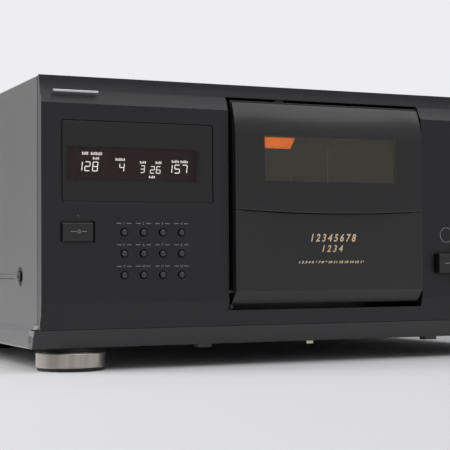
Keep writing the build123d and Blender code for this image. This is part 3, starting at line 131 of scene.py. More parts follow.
def light_room():
    """Soft light from above, dim at the horizon and behind the object. The camera and glass see the pale
    backdrop itself, and what shines sees it a little darker on the left."""
    world = bpy.data.worlds.new("room")
    bpy.context.scene.world = world
    world.use_nodes = True
    tree = world.node_tree
    wall = tree.nodes["Background"]
    wall.inputs["Color"].default_value = BACKDROP
    rays = tree.nodes.new("ShaderNodeLightPath")
    where = tree.nodes.new("ShaderNodeTexCoord")
    split = tree.nodes.new("ShaderNodeSeparateXYZ")
    tree.links.new(where.outputs["Generated"], split.inputs["Vector"])
    behind = maths(tree, "MAXIMUM", split.outputs["Y"], 0)
    lower_behind = maths(tree, "MULTIPLY_ADD", behind, -0.8, split.outputs["Z"])
    light = ramp(tree, lower_behind, 0.04, 0.70, *ROOM_LIGHT)
    shine = ramp(tree, split.outputs["Z"], 0.04, 0.70, *ROOM_SHINE)
    toward_right = tree.nodes.new("ShaderNodeVectorMath")
    toward_right.operation = "DOT_PRODUCT"
    toward_right.inputs[1].default_value = (0.91, -0.41, 0)
    tree.links.new(where.outputs["Generated"], toward_right.inputs[0])
    darker_left = ramp(tree, toward_right.outputs["Value"], -0.50, -0.10, DARK_SIDE, 1.0)
    strength = light
    for ray, seen in (("Is Glossy Ray", maths(tree, "MULTIPLY", shine, darker_left)),
                      ("Is Camera Ray", 1.0), ("Is Transmission Ray", 1.0)):
        choose = tree.nodes.new("ShaderNodeMix")
        tree.links.new(rays.outputs[ray], choose.inputs["Factor"])
        tree.links.new(strength, choose.inputs["A"])
        if isinstance(seen, bpy.types.NodeSocket):
            tree.links.new(seen, choose.inputs["B"])
        else:
            choose.inputs["B"].default_value = seen
        strength = choose.outputs["Result"]
    tree.links.new(strength, wall.inputs["Strength"])


def add_softbox(name, place, aim, size, power):
    """A rectangular soft lamp, turned to the place it aims at; metres and watts."""
    bpy.ops.object.light_add(type="AREA", location=place)
    lamp = bpy.context.object
    lamp.name = name
    lamp.data.shape = "RECTANGLE"
    lamp.data.size, lamp.data.size_y = size
    lamp.data.energy = power
    lamp.rotation_euler = (Vector(aim) - Vector(place)).to_track_quat("-Z", "Y").to_euler()


add_sheet()
light_room()
add_softbox("left_softbox", (-1.6, 0.1, 1.1), (0, 0, 0.1), (1.2, 1.0), 24)
add_softbox("top_softbox", (0.5, -1.0, 1.9), (0, 0, 0.1), (2.6, 1.9), 17)


# ------------------------------------------------------------------ bottom chassis
# One tray of zinc-plated sheet steel, punched and folded up at its edges. Every other piece screws or
# clips to it. The rolled sheet shows faint lines along X and the plating clouds a little.
def new_group(name, sockets, outputs):
    """A shader group with number inputs; returns its tree, way in and way out."""
    group = bpy.data.node_groups.new(name, "ShaderNodeTree")
    for socket, default in sockets.items():
        made = group.interface.new_socket(socket, in_out="INPUT", socket_type="NodeSocketFloat")
        made.default_value = default
    for socket, kind in outputs.items():
        group.interface.new_socket(socket, in_out="OUTPUT", socket_type=kind)
    return group, group.nodes.new("NodeGroupInput"), group.nodes.new("NodeGroupOutput")


def object_noise(tree, stretch, scale, detail):
    """Noise on the piece's own coordinates, stretched along its axes."""
    where = tree.nodes.new("ShaderNodeTexCoord")
    mapping = tree.nodes.new("ShaderNodeMapping")
    mapping.inputs["Scale"].default_value = stretch
    noise = tree.nodes.new("ShaderNodeTexNoise")
    noise.inputs["Scale"].default_value = scale
    noise.inputs["Detail"].default_value = detail
    tree.links.new(where.outputs["Object"], mapping.inputs["Vector"])
    tree.links.new(mapping.outputs["Vector"], noise.inputs["Vector"])
    return noise


def build_grain_group():
    """Fine stipple plus hairlines along X: a height, and a slow tone change."""
    group, inside, outside = new_group("surface_grain", {"Stipple": 1.0, "Hairline": 0.0},
                                       {"Height": "NodeSocketFloat", "Tone": "NodeSocketFloat"})
    stipple = object_noise(group, (1, 1, 1), 2600, 2)
    hairline = object_noise(group, (0.02, 1, 1), 3200, 3)
    cloud = object_noise(group, (1, 1, 1), 14, 3)
    grains = maths(group, "MULTIPLY", stipple.outputs["Fac"], inside.outputs["Stipple"])
    height = maths(group, "MULTIPLY_ADD", hairline.outputs["Fac"], inside.outputs["Hairline"], grains)
    group.links.new(height, outside.inputs["Height"])
    group.links.new(cloud.outputs["Fac"], outside.inputs["Tone"])
    return group


def build_dust_group():
    """Sparse pale specks, each a fraction of a millimetre across."""
    group, inside, outside = new_group("dust_specks", {"Amount": 0.3, "Scale": 420.0},
                                       {"Mask": "NodeSocketFloat"})
    where = group.nodes.new("ShaderNodeTexCoord")
    specks = group.nodes.new("ShaderNodeTexVoronoi")
    split = group.nodes.new("ShaderNodeSeparateColor")
    group.links.new(where.outputs["Object"], specks.inputs["Vector"])
    group.links.new(inside.outputs["Scale"], specks.inputs["Scale"])
    group.links.new(specks.outputs["Color"], split.inputs["Color"])
    some = maths(group, "GREATER_THAN", split.outputs["Red"], 0.66)
    both = maths(group, "MULTIPLY", ramp(group, specks.outputs["Distance"], 0.10, 0.04), some)
    group.links.new(maths(group, "MULTIPLY", both, inside.outputs["Amount"]), outside.inputs["Mask"])
    return group


def build_edge_group():
    """A mask of the sharp edges, and a normal that rounds them over a small radius."""
    group, inside, outside = new_group(
        "rubbed_and_highlit_edge", {"Radius": 0.0006}, {"Mask": "NodeSocketFloat", "Normal": "NodeSocketVector"})
    bevel = group.nodes.new("ShaderNodeBevel")
    bevel.samples = 6
    flat = group.nodes.new("ShaderNodeNewGeometry")
    dot = group.nodes.new("ShaderNodeVectorMath")
    dot.operation = "DOT_PRODUCT"
    group.links.new(inside.outputs["Radius"], bevel.inputs["Radius"])
    group.links.new(bevel.outputs["Normal"], dot.inputs[0])
    group.links.new(flat.outputs["Normal"], dot.inputs[1])
    group.links.new(ramp(group, dot.outputs["Value"], 0.995, 0.80), outside.inputs["Mask"])
    group.links.new(bevel.outputs["Normal"], outside.inputs["Normal"])
    return group


grain_group, dust_group, edge_group = build_grain_group(), build_dust_group(), build_edge_group()


def placed(tree, group, **values):
    """A shader group laid in a material with its own values."""
    node = tree.nodes.new("ShaderNodeGroup")
    node.node_tree = group
    for socket, value in values.items():
        node.inputs[socket].default_value = value
    return node


def blend_colours(tree, factor, first, second):
    """A mix from one colour to another; the factor and either colour may be a socket."""
    mix = tree.nodes.new("ShaderNodeMix")
    mix.data_type = "RGBA"
    if isinstance(factor, bpy.types.NodeSocket):
        tree.links.new(factor, mix.inputs["Factor"])
    else:
        mix.inputs["Factor"].default_value = factor
    for socket, colour in (("A", first), ("B", second)):
        target = [s for s in mix.inputs if s.name == socket and s.type == "RGBA"][0]
        if isinstance(colour, bpy.types.NodeSocket):
            tree.links.new(colour, target)
        else:
            target.default_value = (*colour, 1)
    return [s for s in mix.outputs if s.type == "RGBA"][0]


def lighter(colour, times):
    """A colour times a number, kept within white."""
    return tuple(min(1.0, part * times) for part in colour)


def finish(name, colour, rough, metal=0.0, stipple=0.0, hairline=0.0, bump=0.0, dust=0.0, edge=1.6,
           edge_radius=0.0006, tone=0.25, shine=0.5):
    """A surface of the changer: slow tone, grain, dust specks and slightly rubbed, rounded edges whose colour
    is lightened, as wear and as a painted highlight.
    """
    material, tree, skin = new_material(name)
    skin.inputs["Metallic"].default_value = metal
    skin.inputs["Specular IOR Level"].default_value = shine
    grain = placed(tree, grain_group, Stipple=stipple, Hairline=hairline)
    specks = placed(tree, dust_group, Amount=dust)
    edges = placed(tree, edge_group, Radius=edge_radius)
    base = blend_colours(tree, grain.outputs["Tone"], lighter(colour, 1 - tone), lighter(colour, 1 + tone))
    # painted highlight: sharp edges are lightened in colour, as rubbed wear and as the light they catch
    worn_and_highlit = blend_colours(tree, edges.outputs["Mask"], base, lighter(colour, edge))
    dusty = blend_colours(tree, specks.outputs["Mask"], worn_and_highlit, (0.30, 0.30, 0.30))
    surface = tree.nodes.new("ShaderNodeBump")
    surface.inputs["Strength"].default_value = bump
    surface.inputs["Distance"].default_value = 0.0001
    tree.links.new(dusty, skin.inputs["Base Color"])
    roughness = ramp(tree, grain.outputs["Tone"], 0, 1, rough * 0.88, min(1.0, rough * 1.12))
    tree.links.new(roughness, skin.inputs["Roughness"])
    tree.links.new(grain.outputs["Height"], surface.inputs["Height"])
    tree.links.new(edges.outputs["Normal"], surface.inputs["Normal"])
    tree.links.new(surface.outputs["Normal"], skin.inputs["Normal"])
    return material


def dress(material, *nodes):
    """Give CAD nodes their finish."""
    for node in nodes:
        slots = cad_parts[node].data.materials
        slots.clear()
        slots.append(material)


tray_steel = finish("zinc_tray_steel", (0.46, 0.46, 0.44), 0.34, metal=1.0, hairline=0.6, bump=0.05, dust=0.1)
dress(tray_steel, "bottom_chassis")


# ------------------------------------------------------------------ front feet and their rubber rings
# Turned metal drums with a champagne anodised band, its two turned rims lit by a painted highlight and its
# turn streaked with painted reflection; above it a narrow dark moulded neck, and below a black rubber ring.
# One long screw holds each foot to the tray.
NECK_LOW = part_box("bottom_chassis")[0].z - 3.4 * MM


def where_between(tree, axis, low, high, soft):
    """A mask that is 1 between two places along an axis of the piece, with soft ends; all in metres."""
    where = tree.nodes.new("ShaderNodeTexCoord")
    split = tree.nodes.new("ShaderNodeSeparateXYZ")
    tree.links.new(where.outputs["Object"], split.inputs["Vector"])
    rise = ramp(tree, split.outputs[axis], low - soft / 2, low + soft / 2)
    fall = ramp(tree, split.outputs[axis], high + soft / 2, high - soft / 2)
    return maths(tree, "MULTIPLY", rise, fall)


def recolour(material, mask, colour):
    """Lay a colour over what feeds a material's base colour, where the mask is 1."""
    tree = material.node_tree
    skin = tree.nodes["Principled BSDF"]
    under = skin.inputs["Base Color"].links[0].from_socket
    tree.links.new(blend_colours(tree, mask, under, colour), skin.inputs["Base Color"])


def champagne_band():
    """The turned band, streaked lighter and darker round its turn as painted reflection; the moulded neck
    above it is dull and black.
    """
    material = finish("champagne_foot", (0.42, 0.385, 0.335), 0.26, metal=1.0, hairline=1.0, bump=0.05,
                      tone=0.18, edge=1.7, edge_radius=0.0007)
    tree = material.node_tree
    skin = tree.nodes["Principled BSDF"]
    neck = where_between(tree, "Z", NECK_LOW + 0.1 * MM, 1.0, 0.1 * MM)
    where = tree.nodes.new("ShaderNodeTexCoord")
    # painted reflection: noise streaks lighten and darken the band's colour, standing in for the streaked
    # reflections of turned metal
    reflection_streaks = tree.nodes.new("ShaderNodeTexNoise")
    reflection_streaks.noise_dimensions = "2D"
    reflection_streaks.inputs["Scale"].default_value = 70
    reflection_streaks.inputs["Detail"].default_value = 4
    tree.links.new(where.outputs["Object"], reflection_streaks.inputs["Vector"])
    lift = ramp(tree, reflection_streaks.outputs["Fac"], 0.38, 0.62)
    under = skin.inputs["Base Color"].links[0].from_socket
    pale = blend_colours(tree, lift, (0.27, 0.245, 0.215), (0.56, 0.52, 0.46))
    tree.links.new(blend_colours(tree, 0.6, under, pale), skin.inputs["Base Color"])
    recolour(material, neck, (0.006, 0.006, 0.006))
    rough = skin.inputs["Roughness"].links[0].from_socket
    tree.links.new(maths(tree, "MULTIPLY_ADD", neck, 0.5, rough), skin.inputs["Roughness"])
    tree.links.new(maths(tree, "SUBTRACT", 1.0, neck), skin.inputs["Metallic"])
    return material


pad_rubber = finish("pad_rubber", (0.008, 0.008, 0.008), 0.65, stipple=0.5, bump=0.1)
dress(champagne_band(), "front_foot_left", "front_foot_right")
dress(pad_rubber, "foot_pads")


# ------------------------------------------------------------------ rear feet and foot screws
# Plain black mouldings, a little tapered, and yellow-zinc screws in the wells of all four feet.
moulded_black = finish("moulded_black", (0.012, 0.012, 0.013), 0.5, stipple=0.6, bump=0.1)
zinc_screw = finish("zinc_screw", (0.60, 0.57, 0.46), 0.28, metal=1.0, edge_radius=0.0003)
dress(moulded_black, "rear_foot_left", "rear_foot_right")
dress(zinc_screw, "foot_screws")


# ------------------------------------------------------------------ transformer and main board
# A varnished iron core with its taped winding on a strap, and a green board on posts along the right
# wall, with a finned heat sink and capacitors.
transformer_iron = finish("transformer_iron", (0.10, 0.085, 0.07), 0.45, metal=0.4, hairline=0.8, bump=0.2)
board_green = finish("board_green", (0.02, 0.075, 0.035), 0.4, stipple=0.3, bump=0.06)
dress(transformer_iron, "transformer")
dress(board_green, "main_board")


# ------------------------------------------------------------------ rotary table, its base and its drive
# The slotted table is one grey ABS moulding that holds the discs on edge. It runs on a black moulded hub
# and is turned through its gear ring by an acetal pinion on a small motor.
acetal = finish("acetal", (0.70, 0.69, 0.64), 0.4)
motor_can = finish("motor_can", (0.58, 0.58, 0.60), 0.26, metal=1.0)
table_grey = finish("table_grey", (0.05, 0.05, 0.052), 0.42, stipple=0.5, bump=0.08, dust=0.1)
dress(moulded_black, "table_base")
dress(table_grey, "rotary_table")
dress(motor_can, "table_motor")
dress(acetal, "table_pinion")


# ------------------------------------------------------------------ disc drive and loading lever
# A plated steel tower in the middle of the table: spindle motor and platter, a die-cast pickup sled on
# two ground rods, a sprung clamp arm with its puck, and beside it the lever that pushes a disc over.
tower_steel = finish("tower_steel", (0.55, 0.55, 0.53), 0.32, metal=1.0, hairline=0.4, bump=0.05)
sled_alloy = finish("sled_alloy", (0.55, 0.55, 0.55), 0.4, metal=1.0, stipple=0.8, bump=0.1)
ground_steel = finish("ground_steel", (0.62, 0.62, 0.62), 0.18, metal=1.0)
dress(tower_steel, "tower_frame", "clamp_arm")
dress(motor_can, "spindle_motor")
dress(moulded_black, "turntable", "loading_motor")
dress(sled_alloy, "pickup_sled")
dress(ground_steel, "sled_rails")
dress(acetal, "sled_gear", "clamper", "loading_lever")


# ------------------------------------------------------------------ rear panel, jacks and cord bushing
# Painted sheet steel, hooked under the cover. It carries two phono jacks with turned sleeves, two small
# control jacks and the bushing of the mains cord.
rear_paint = finish("rear_paint", (0.012, 0.012, 0.013), 0.42, stipple=1.0, bump=0.12, dust=0.25)
jack_metal = finish("jack_metal", (0.70, 0.66, 0.56), 0.22, metal=1.0)
dress(rear_paint, "rear_panel")
dress(jack_metal, "phono_jacks")
dress(moulded_black, "mini_jacks", "mains_bushing")


# ------------------------------------------------------------------ loading bay
# The black moulded frame behind the opening. Its cheeks carry the door on two steel pins and, at the
# left, the small motor that turns the door's gear sector.
bay_black = finish("bay_black", (0.010, 0.010, 0.011), 0.5, stipple=0.5, bump=0.1, dust=0.15)
dress(bay_black, "bay_frame")
dress(ground_steel, "hinge_pins")
dress(motor_can, "door_motor")
dress(acetal, "door_gear")


# ------------------------------------------------------------------ slot pointer
# The tongue that points at the slot in use: a clear orange moulding with a fine dotted back, lit by a
# lamp behind it and brightest left of its middle. Its hanger is masked black.
TONGUE_HIGH = 7.6 * MM


def lit_orange():
    """Orange that glows from within its tongue, finely dotted, and black above the tongue."""
    material, tree, skin = new_material("lit_orange")
    skin.inputs["Roughness"].default_value = 0.35
    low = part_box("slot_pointer")[0]
    centre = Vector((low.x + 0.0095, 0, low.z + 0.0042))
    where = tree.nodes.new("ShaderNodeTexCoord")
    centred = tree.nodes.new("ShaderNodeMapping")
    centred.vector_type = "TEXTURE"
    centred.inputs["Location"].default_value = centre
    centred.inputs["Scale"].default_value = (0.017, 10, 0.008)
    far = tree.nodes.new("ShaderNodeVectorMath")
    far.operation = "LENGTH"
    dots = tree.nodes.new("ShaderNodeTexVoronoi")
    dots.inputs["Scale"].default_value = 900
    dots.inputs["Randomness"].default_value = 0.2
    tree.links.new(where.outputs["Object"], dots.inputs["Vector"])
    tree.links.new(where.outputs["Object"], centred.inputs["Vector"])
    tree.links.new(centred.outputs["Vector"], far.inputs[0])
    glow = ramp(tree, far.outputs["Value"], 0.1, 1.0, 1.0, 0.0)
    dark = ramp(tree, dots.outputs["Distance"], 0.35, 0.75)
    lens = blend_colours(tree, glow, (0.80, 0.11, 0.0), (1.0, 0.28, 0.01))
    dotted = blend_colours(tree, dark, lens, (0.50, 0.06, 0.0))
    tongue = where_between(tree, "Z", low.z - 0.001, low.z + TONGUE_HIGH, 0.0002)
    masked = blend_colours(tree, tongue, (0.004, 0.004, 0.004), dotted)
    tree.links.new(masked, skin.inputs["Base Color"])
    tree.links.new(masked, skin.inputs["Emission Color"])
    skin.inputs["Emission Strength"].default_value = 2.2
    return material


dress(lit_orange(), "slot_pointer")


# ------------------------------------------------------------------ door and its gold printing
# A tall black moulding, hinged at its foot and turned by the gear sector on its left wall. Below the
# window it carries three lines of plain print in gold.
def join(pieces):
    """Select the pieces alone and make them one."""
    bpy.ops.object.select_all(action="DESELECT")
    for piece in pieces:
        piece.select_set(True)
    bpy.context.view_layer.objects.active = pieces[0]
    if len(pieces) > 1:
        bpy.ops.object.join()
    return pieces[0]


def settle(piece, name, material, body="root"):
    """Put the place of a modelled piece into its mesh, name it, dress it and let it ride on a body."""
    join([piece])
    bpy.ops.object.transform_apply(location=True, rotation=True, scale=True)
    piece.name = name
    piece.data.materials.clear()
    piece.data.materials.append(material)
    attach(piece, body)
    return piece


FILM = 0.05                                     # thickness of a printed film, in mm


def film(points, y):
    """A flat printed shape that faces the front: its outline in x and z, in mm, as a thin raised film."""
    bpy.ops.object.select_all(action="DESELECT")
    bpy.ops.mesh.primitive_circle_add(vertices=len(points), radius=1, fill_type="NGON")
    print_ = bpy.context.object
    for vertex, (x, z) in zip(print_.data.vertices, points):
        vertex.co = Vector((x, y, z)) * MM
    bpy.ops.object.mode_set(mode="EDIT")
    bpy.ops.mesh.select_all(action="SELECT")
    bpy.ops.mesh.extrude_region_move(TRANSFORM_OT_translate={"value": (0, -FILM * MM, 0)})
    bpy.ops.mesh.select_all(action="SELECT")
    bpy.ops.mesh.normals_make_consistent(inside=False)
    bpy.ops.object.mode_set(mode="OBJECT")
    return print_


def bar(x0, x1, z0, z1, y, slant=0.0):
    """A printed bar; slant moves its upper edge to the right."""
    return film([(x0, z0), (x1, z0), (x1 + slant, z1), (x0 + slant, z1)], y)


def text_film(words, x, z, high, y, wide=None, slant=0.0, bold=0.0):
    """A printed word or number, centred on x, its foot at z and, where wide is given, that wide; in mm."""
    bpy.ops.object.select_all(action="DESELECT")
    bpy.ops.object.text_add(location=(0, 0, 0))
    letters = bpy.context.object
    letters.data.body = words
    letters.data.size = high / 0.70 * MM
    letters.data.shear = slant
    letters.data.align_x = "CENTER"
    letters.data.extrude = 0.04 * MM
    letters.data.offset = bold * MM
    bpy.context.view_layer.update()
    if wide:
        letters.scale.x = wide * MM / letters.dimensions.x
    letters.rotation_euler = (pi / 2, 0, 0)
    letters.location = Vector((x, y, z)) * MM
    bpy.ops.object.convert(target="MESH")
    bpy.ops.object.transform_apply(location=True, rotation=True, scale=True)
    return letters


door_black = finish("door_black", (0.011, 0.011, 0.012), 0.34, hairline=0.7, bump=0.10, dust=0.3, edge=2.6)
gold_print = finish("gold_print", (0.80, 0.62, 0.40), 0.40, metal=0.2, edge=1.2, edge_radius=0.0001)
DOOR_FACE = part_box("door_frame")[0].y / MM
door_lines = [text_film("1 2 3 4 5 6 7 8", 0.2, 86.0, 5.2, DOOR_FACE, 36.5, 0.3, 0.16),
              text_film("1 2 3 4", -0.7, 78.6, 4.7, DOOR_FACE, 16.8, 0.3, 0.10),
              text_film(" ".join(str(number) for number in range(1, 17)), -1.0, 70.6, 1.5, DOOR_FACE, 53.0,
                        0.3, 0.10)]
settle(join(door_lines), "door_print", gold_print, "door")
dress(door_black, "door_frame")


# ------------------------------------------------------------------ door window
# A smoked acrylic pane, drape-formed: it bulges forward over its arched lower edge, rolls back along its top
# and softens at the two upper corners. Its paint, on the back, stops round a clear strip, which is tinted
# lighter and warmer as painted light from the lit inside seen through it.
PANE_LOW, PANE_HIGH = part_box("door_window")
PANE_X = PANE_HIGH.x / MM
PANE_BACK, PANE_TOP = PANE_HIGH.y / MM, PANE_HIGH.z / MM
SEAM_MIDDLE, SEAM_SIDE = PANE_LOW.z / MM, PANE_LOW.z / MM + 2.4
BULGE = DOOR_FACE - PANE_LOW.y / MM
ROLL, ROLL_START, CORNER, CORNER_REACH = 5.0, 0.7, 1.0, 16.0
CLEAR_STRIP = ((-53.2, 51.9), (128.0, 159.4))


def pane_point(across, up):
    """A point of the pane's front, from -1…1 across and 0…1 up its height; in mm."""
    x = PANE_X * across
    seam = SEAM_MIDDLE + (SEAM_SIDE - SEAM_MIDDLE) * across ** 2
    z = seam + (PANE_TOP - seam) * up
    share = (z - SEAM_MIDDLE) / (PANE_TOP - SEAM_MIDDLE)
    turned = max(0.0, (share - ROLL_START) / (1 - ROLL_START))
    near_side = max(0.0, 1 - (PANE_X - abs(x)) / CORNER_REACH)
    y = DOOR_FACE - BULGE * (1 - 0.96 * share ** 2) * (1 - across ** 2) + ROLL * turned ** 2
    return x, y + CORNER * near_side ** 2 * turned ** 1.5, z


def model_pane():
    """The front as a fine sheet, its border folded back, made solid inwards and eased at its edges."""
    across, up = 72, 48
    bpy.ops.object.select_all(action="DESELECT")
    bpy.ops.mesh.primitive_grid_add(x_subdivisions=across, y_subdivisions=up, size=2)
    pane = bpy.context.object
    for vertex in pane.data.vertices:
        vertex.co = Vector(pane_point(vertex.co.x, (vertex.co.y + 1) / 2)) * MM
    bpy.ops.object.mode_set(mode="EDIT")
    bpy.ops.mesh.select_all(action="SELECT")
    bpy.ops.mesh.region_to_loop()
    bpy.ops.mesh.extrude_edges_move(TRANSFORM_OT_translate={"value": (0, 4 * MM, 0)})
    bpy.ops.object.mode_set(mode="OBJECT")
    for vertex in pane.data.vertices:
        if vertex.select:
            vertex.co.y = PANE_BACK * MM
    bpy.ops.object.mode_set(mode="EDIT")
    bpy.ops.mesh.select_all(action="SELECT")
    bpy.ops.mesh.normals_make_consistent(inside=False)
    bpy.ops.object.mode_set(mode="OBJECT")
    wall = pane.modifiers.new("wall", "SOLIDIFY")
    wall.thickness = 2.1 * MM
    wall.offset = -1
    ease = pane.modifiers.new("ease", "BEVEL")
    ease.width = 0.45 * MM
    ease.segments = 3
    ease.angle_limit = radians(40)
    for modifier in ("wall", "ease"):
        bpy.ops.object.modifier_apply(modifier=modifier)
    bpy.ops.object.shade_smooth_by_angle(angle=radians(30))
    return pane


def smoked_acrylic():
    """Glossy black paint, and smoked clear in the strip, tinted lighter and warmer as painted light from the
    inside behind it; faint specks of dust on the front.
    """
    material = finish("smoked_acrylic", (0.012, 0.012, 0.013), 0.24, dust=0.25, edge=2.0, edge_radius=0.0004,
                      tone=0.1)
    tree = material.node_tree
    skin = tree.nodes["Principled BSDF"]
    masks = [where_between(tree, axis, low * MM, high * MM, 1.0 * MM) for axis, (low, high) in
             zip("XZ", CLEAR_STRIP)]
    clear = maths(tree, "MULTIPLY", *masks)
    # painted light: the clear strip's colour is lighter and warmer, standing in for light from the inside
    # seen through it
    recolour(material, clear, (0.106, 0.102, 0.078))
    tree.links.new(maths(tree, "MULTIPLY_ADD", clear, -0.60, 1.0), skin.inputs["Alpha"])
    return material


window = settle(model_pane(), "drape_formed_window", smoked_acrylic(), "door")
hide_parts("door_window")


# ------------------------------------------------------------------ front panel and base moulding
# One black ABS moulding with a cove along its top and a slope along its foot; its face shows the fine
# lines of the tool. Its left side return, the one in view, is sprayed grey. The base moulding hooks under
# it.
RETURN_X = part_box("front_panel")[0].x + 0.35 * MM


def panel_plastic():
    """Black plastic whose left side return is sprayed grey, with a dark line along its joint."""
    material = finish("panel_plastic", (0.0125, 0.0120, 0.0138), 0.42, hairline=1.0, bump=0.22, dust=0.3,
                      edge=1.1, edge_radius=0.0005, shine=0.36)
    tree = material.node_tree
    side = where_between(tree, "X", -1.0, RETURN_X, 0.2 * MM)
    for start, end, grey in ((1.8, 30, 0.165), (4.0, 30, 0.125), (3.4, 4.2, 0.030)):
        behind = where_between(tree, "Y", (FRONT_Y + start) * MM, (FRONT_Y + end) * MM, 0.2 * MM)
        recolour(material, maths(tree, "MULTIPLY", side, behind), (grey, grey, grey))
    return material


def base_plastic():
    """Black plastic whose left end is sprayed grey too, with a dark bluish patch low down, painted shade of a
    notch.
    """
    material = finish("base_plastic", (0.0195, 0.0195, 0.0212), 0.38, hairline=1.0, bump=0.2, dust=0.3,
                      edge=1.5)
    tree = material.node_tree
    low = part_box("base_moulding")[0]
    end = where_between(tree, "X", -1.0, low.x + 0.5 * MM, 0.3 * MM)
    for start, first, last, colour in (
            (-1000, 0, 100, (0.105, 0.106, 0.108)), (-1000, 23.8, 100, (0.200, 0.200, 0.200)),
            # painted shade: a dark bluish patch low on the end, where a notch lies in shade
            (FRONT_Y + 11.5, 19.4, 23.8, (0.030, 0.032, 0.050))):
        spot = maths(tree, "MULTIPLY", where_between(tree, "Y", start * MM, 1.0, 0.4 * MM),
                     where_between(tree, "Z", first * MM, last * MM, 0.4 * MM))
        recolour(material, maths(tree, "MULTIPLY", end, spot), colour)
    return material


dress(panel_plastic(), "front_panel")
dress(base_plastic(), "base_moulding")


# ------------------------------------------------------------------ badge bar and label tab
# A slim satin bar sits high on the panel's left, and a small pale card tab hangs below the front edge.
# Both are stuck on.
def block(name, x, y, z, material, ease=0.3):
    """A small eased block; x, y and z are its ranges in mm."""
    low, high = Vector((x[0], y[0], z[0])) * MM, Vector((x[1], y[1], z[1])) * MM
    bpy.ops.object.select_all(action="DESELECT")
    bpy.ops.mesh.primitive_cube_add(size=1, location=(low + high) / 2)
    piece = bpy.context.object
    piece.scale = high - low
    bpy.ops.object.transform_apply(location=True, rotation=True, scale=True)
    bpy.ops.object.mode_set(mode="EDIT")
    bpy.ops.mesh.select_all(action="SELECT")
    bpy.ops.mesh.bevel(offset=ease * MM, segments=3, affect="EDGES")
    bpy.ops.object.mode_set(mode="OBJECT")
    bpy.ops.object.shade_smooth_by_angle(angle=radians(40))
    return settle(piece, name, material)


satin_silver = finish("satin_silver", (0.70, 0.70, 0.71), 0.30, metal=1.0, hairline=0.6, bump=0.05, edge=1.2,
                      edge_radius=0.0002)
label_card = finish("label_card", (0.62, 0.66, 0.42), 0.6, stipple=0.4, bump=0.05, edge=1.1,
                    edge_radius=0.0002)
block("badge_bar", (-203.3, -172.1), (FRONT_Y + 0.9, FRONT_Y + 2.4), (184.1, 185.5), satin_silver, 0.25)
block("label_tab", (-12.9, -7.7), (FRONT_Y + 10.6, FRONT_Y + 11.4), (13.3, 15.3), label_card, 0.15)


# ------------------------------------------------------------------ display
# A vacuum-fluorescent tube behind a smoked window whose black print leaves one rectangle clear. Pale
# seven-segment numbers glow on a faintly red ground, with short legend marks over them.
def glowing(name, colour, strength):
    """Phosphor that glows in one colour, a little uneven."""
    material, tree, skin = new_material(name)
    skin.inputs["Roughness"].default_value = 0.5
    skin.inputs["Emission Strength"].default_value = strength
    mesh_of_grid = object_noise(tree, (1, 1, 1), 1500, 1)
    shade = blend_colours(tree, mesh_of_grid.outputs["Fac"], lighter(colour, 0.86), colour)
    tree.links.new(shade, skin.inputs["Base Color"])
    tree.links.new(shade, skin.inputs["Emission Color"])
    return material


SEGMENTS = {"0": "abcdef", "1": "bc", "2": "abged", "3": "abgcd", "4": "fgbc", "5": "afgcd", "6": "afgedc",
            "7": "abc", "8": "abcdefg", "9": "abcfgd"}
SLANT = 0.10                                    # how far a figure leans, for each mm of its height
STROKE = 0.135                                  # of a figure's width


def digit(figure, x, z, wide, high, y):
    """A seven-segment figure; x and z are its lower left corner in mm."""
    stroke = wide * STROKE
    left, right, low, top = stroke / 2, wide - stroke / 2, stroke / 2, high - stroke / 2
    half = high / 2
    places = {"a": (left, top, right, top), "g": (left, half, right, half), "d": (left, low, right, low),
              "f": (left, half, left, top), "b": (right, half, right, top), "e": (left, low, left, half),
              "c": (right, low, right, half)}
    pieces = []
    for letter in SEGMENTS[figure]:
        ax, az, bx, bz = places[letter]
        if az == bz:
            outline = [(ax + stroke * 0.6, az - stroke / 2), (bx - stroke * 0.6, bz - stroke / 2),
                       (bx - stroke * 0.1, bz), (bx - stroke * 0.6, bz + stroke / 2),
                       (ax + stroke * 0.6, az + stroke / 2), (ax + stroke * 0.1, az)]
        else:
            outline = [(ax, az + stroke * 0.1), (ax + stroke / 2, az + stroke * 0.6),
                       (bx + stroke / 2, bz - stroke * 0.6), (bx, bz - stroke * 0.1),
                       (bx - stroke / 2, bz - stroke * 0.6), (ax - stroke / 2, az + stroke * 0.6)]
        pieces.append(film([(x + px + SLANT * pz, z + pz) for px, pz in outline], y))
    return pieces


def ticks(x0, x1, z0, z1, y, wide, pitch):
    """A row of bars, every third one shorter."""
    count = int((x1 - x0 - wide) / pitch) + 1
    return [bar(x0 + step * pitch, x0 + step * pitch + wide, z0, z1 - (0.5 if step % 3 == 1 else 0), y)
            for step in range(count)]


TUBE_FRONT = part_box("display_tube")[0].y / MM
# figures, x of the first one, z, width, height, pitch
NUMBERS = [("128", -186.1, 132.4, 3.9, 6.5, 5.4), ("4", -156.4, 132.5, 3.6, 5.9, 5),
           ("3", -141.3, 132.2, 3.1, 5.0, 5), ("26", -134.2, 131.9, 3.2, 5.0, 4.3),
           ("157", -122.2, 132.3, 4.1, 6.1, 5.5)]
LEGENDS = [(-182.1, -177.2, 143.3, 145.3), (-176.0, -167.8, 143.3, 145.3), (-174.6, -169.3, 140.3, 141.9),
           (-158.7, -151.1, 139.9, 141.7), (-141.3, -136.7, 138.5, 140.1), (-130.0, -125.5, 138.5, 140.2),
           (-134.9, -129.6, 128.7, 130.3), (-118.2, -112.6, 139.6, 141.3), (-111.7, -106.2, 139.6, 141.3)]
GLOW = ((-193.5, -101.5), (126.2, 148.2))
figures = []
for text, x, z, wide, high, pitch in NUMBERS:
    for place, figure in enumerate(text):
        figures += digit(figure, x + place * pitch, z, wide, high, TUBE_FRONT - 0.05)
settle(join(figures), "display_figures", glowing("figure_glow", (1.0, 0.93, 0.94), 2.9))
marks = []
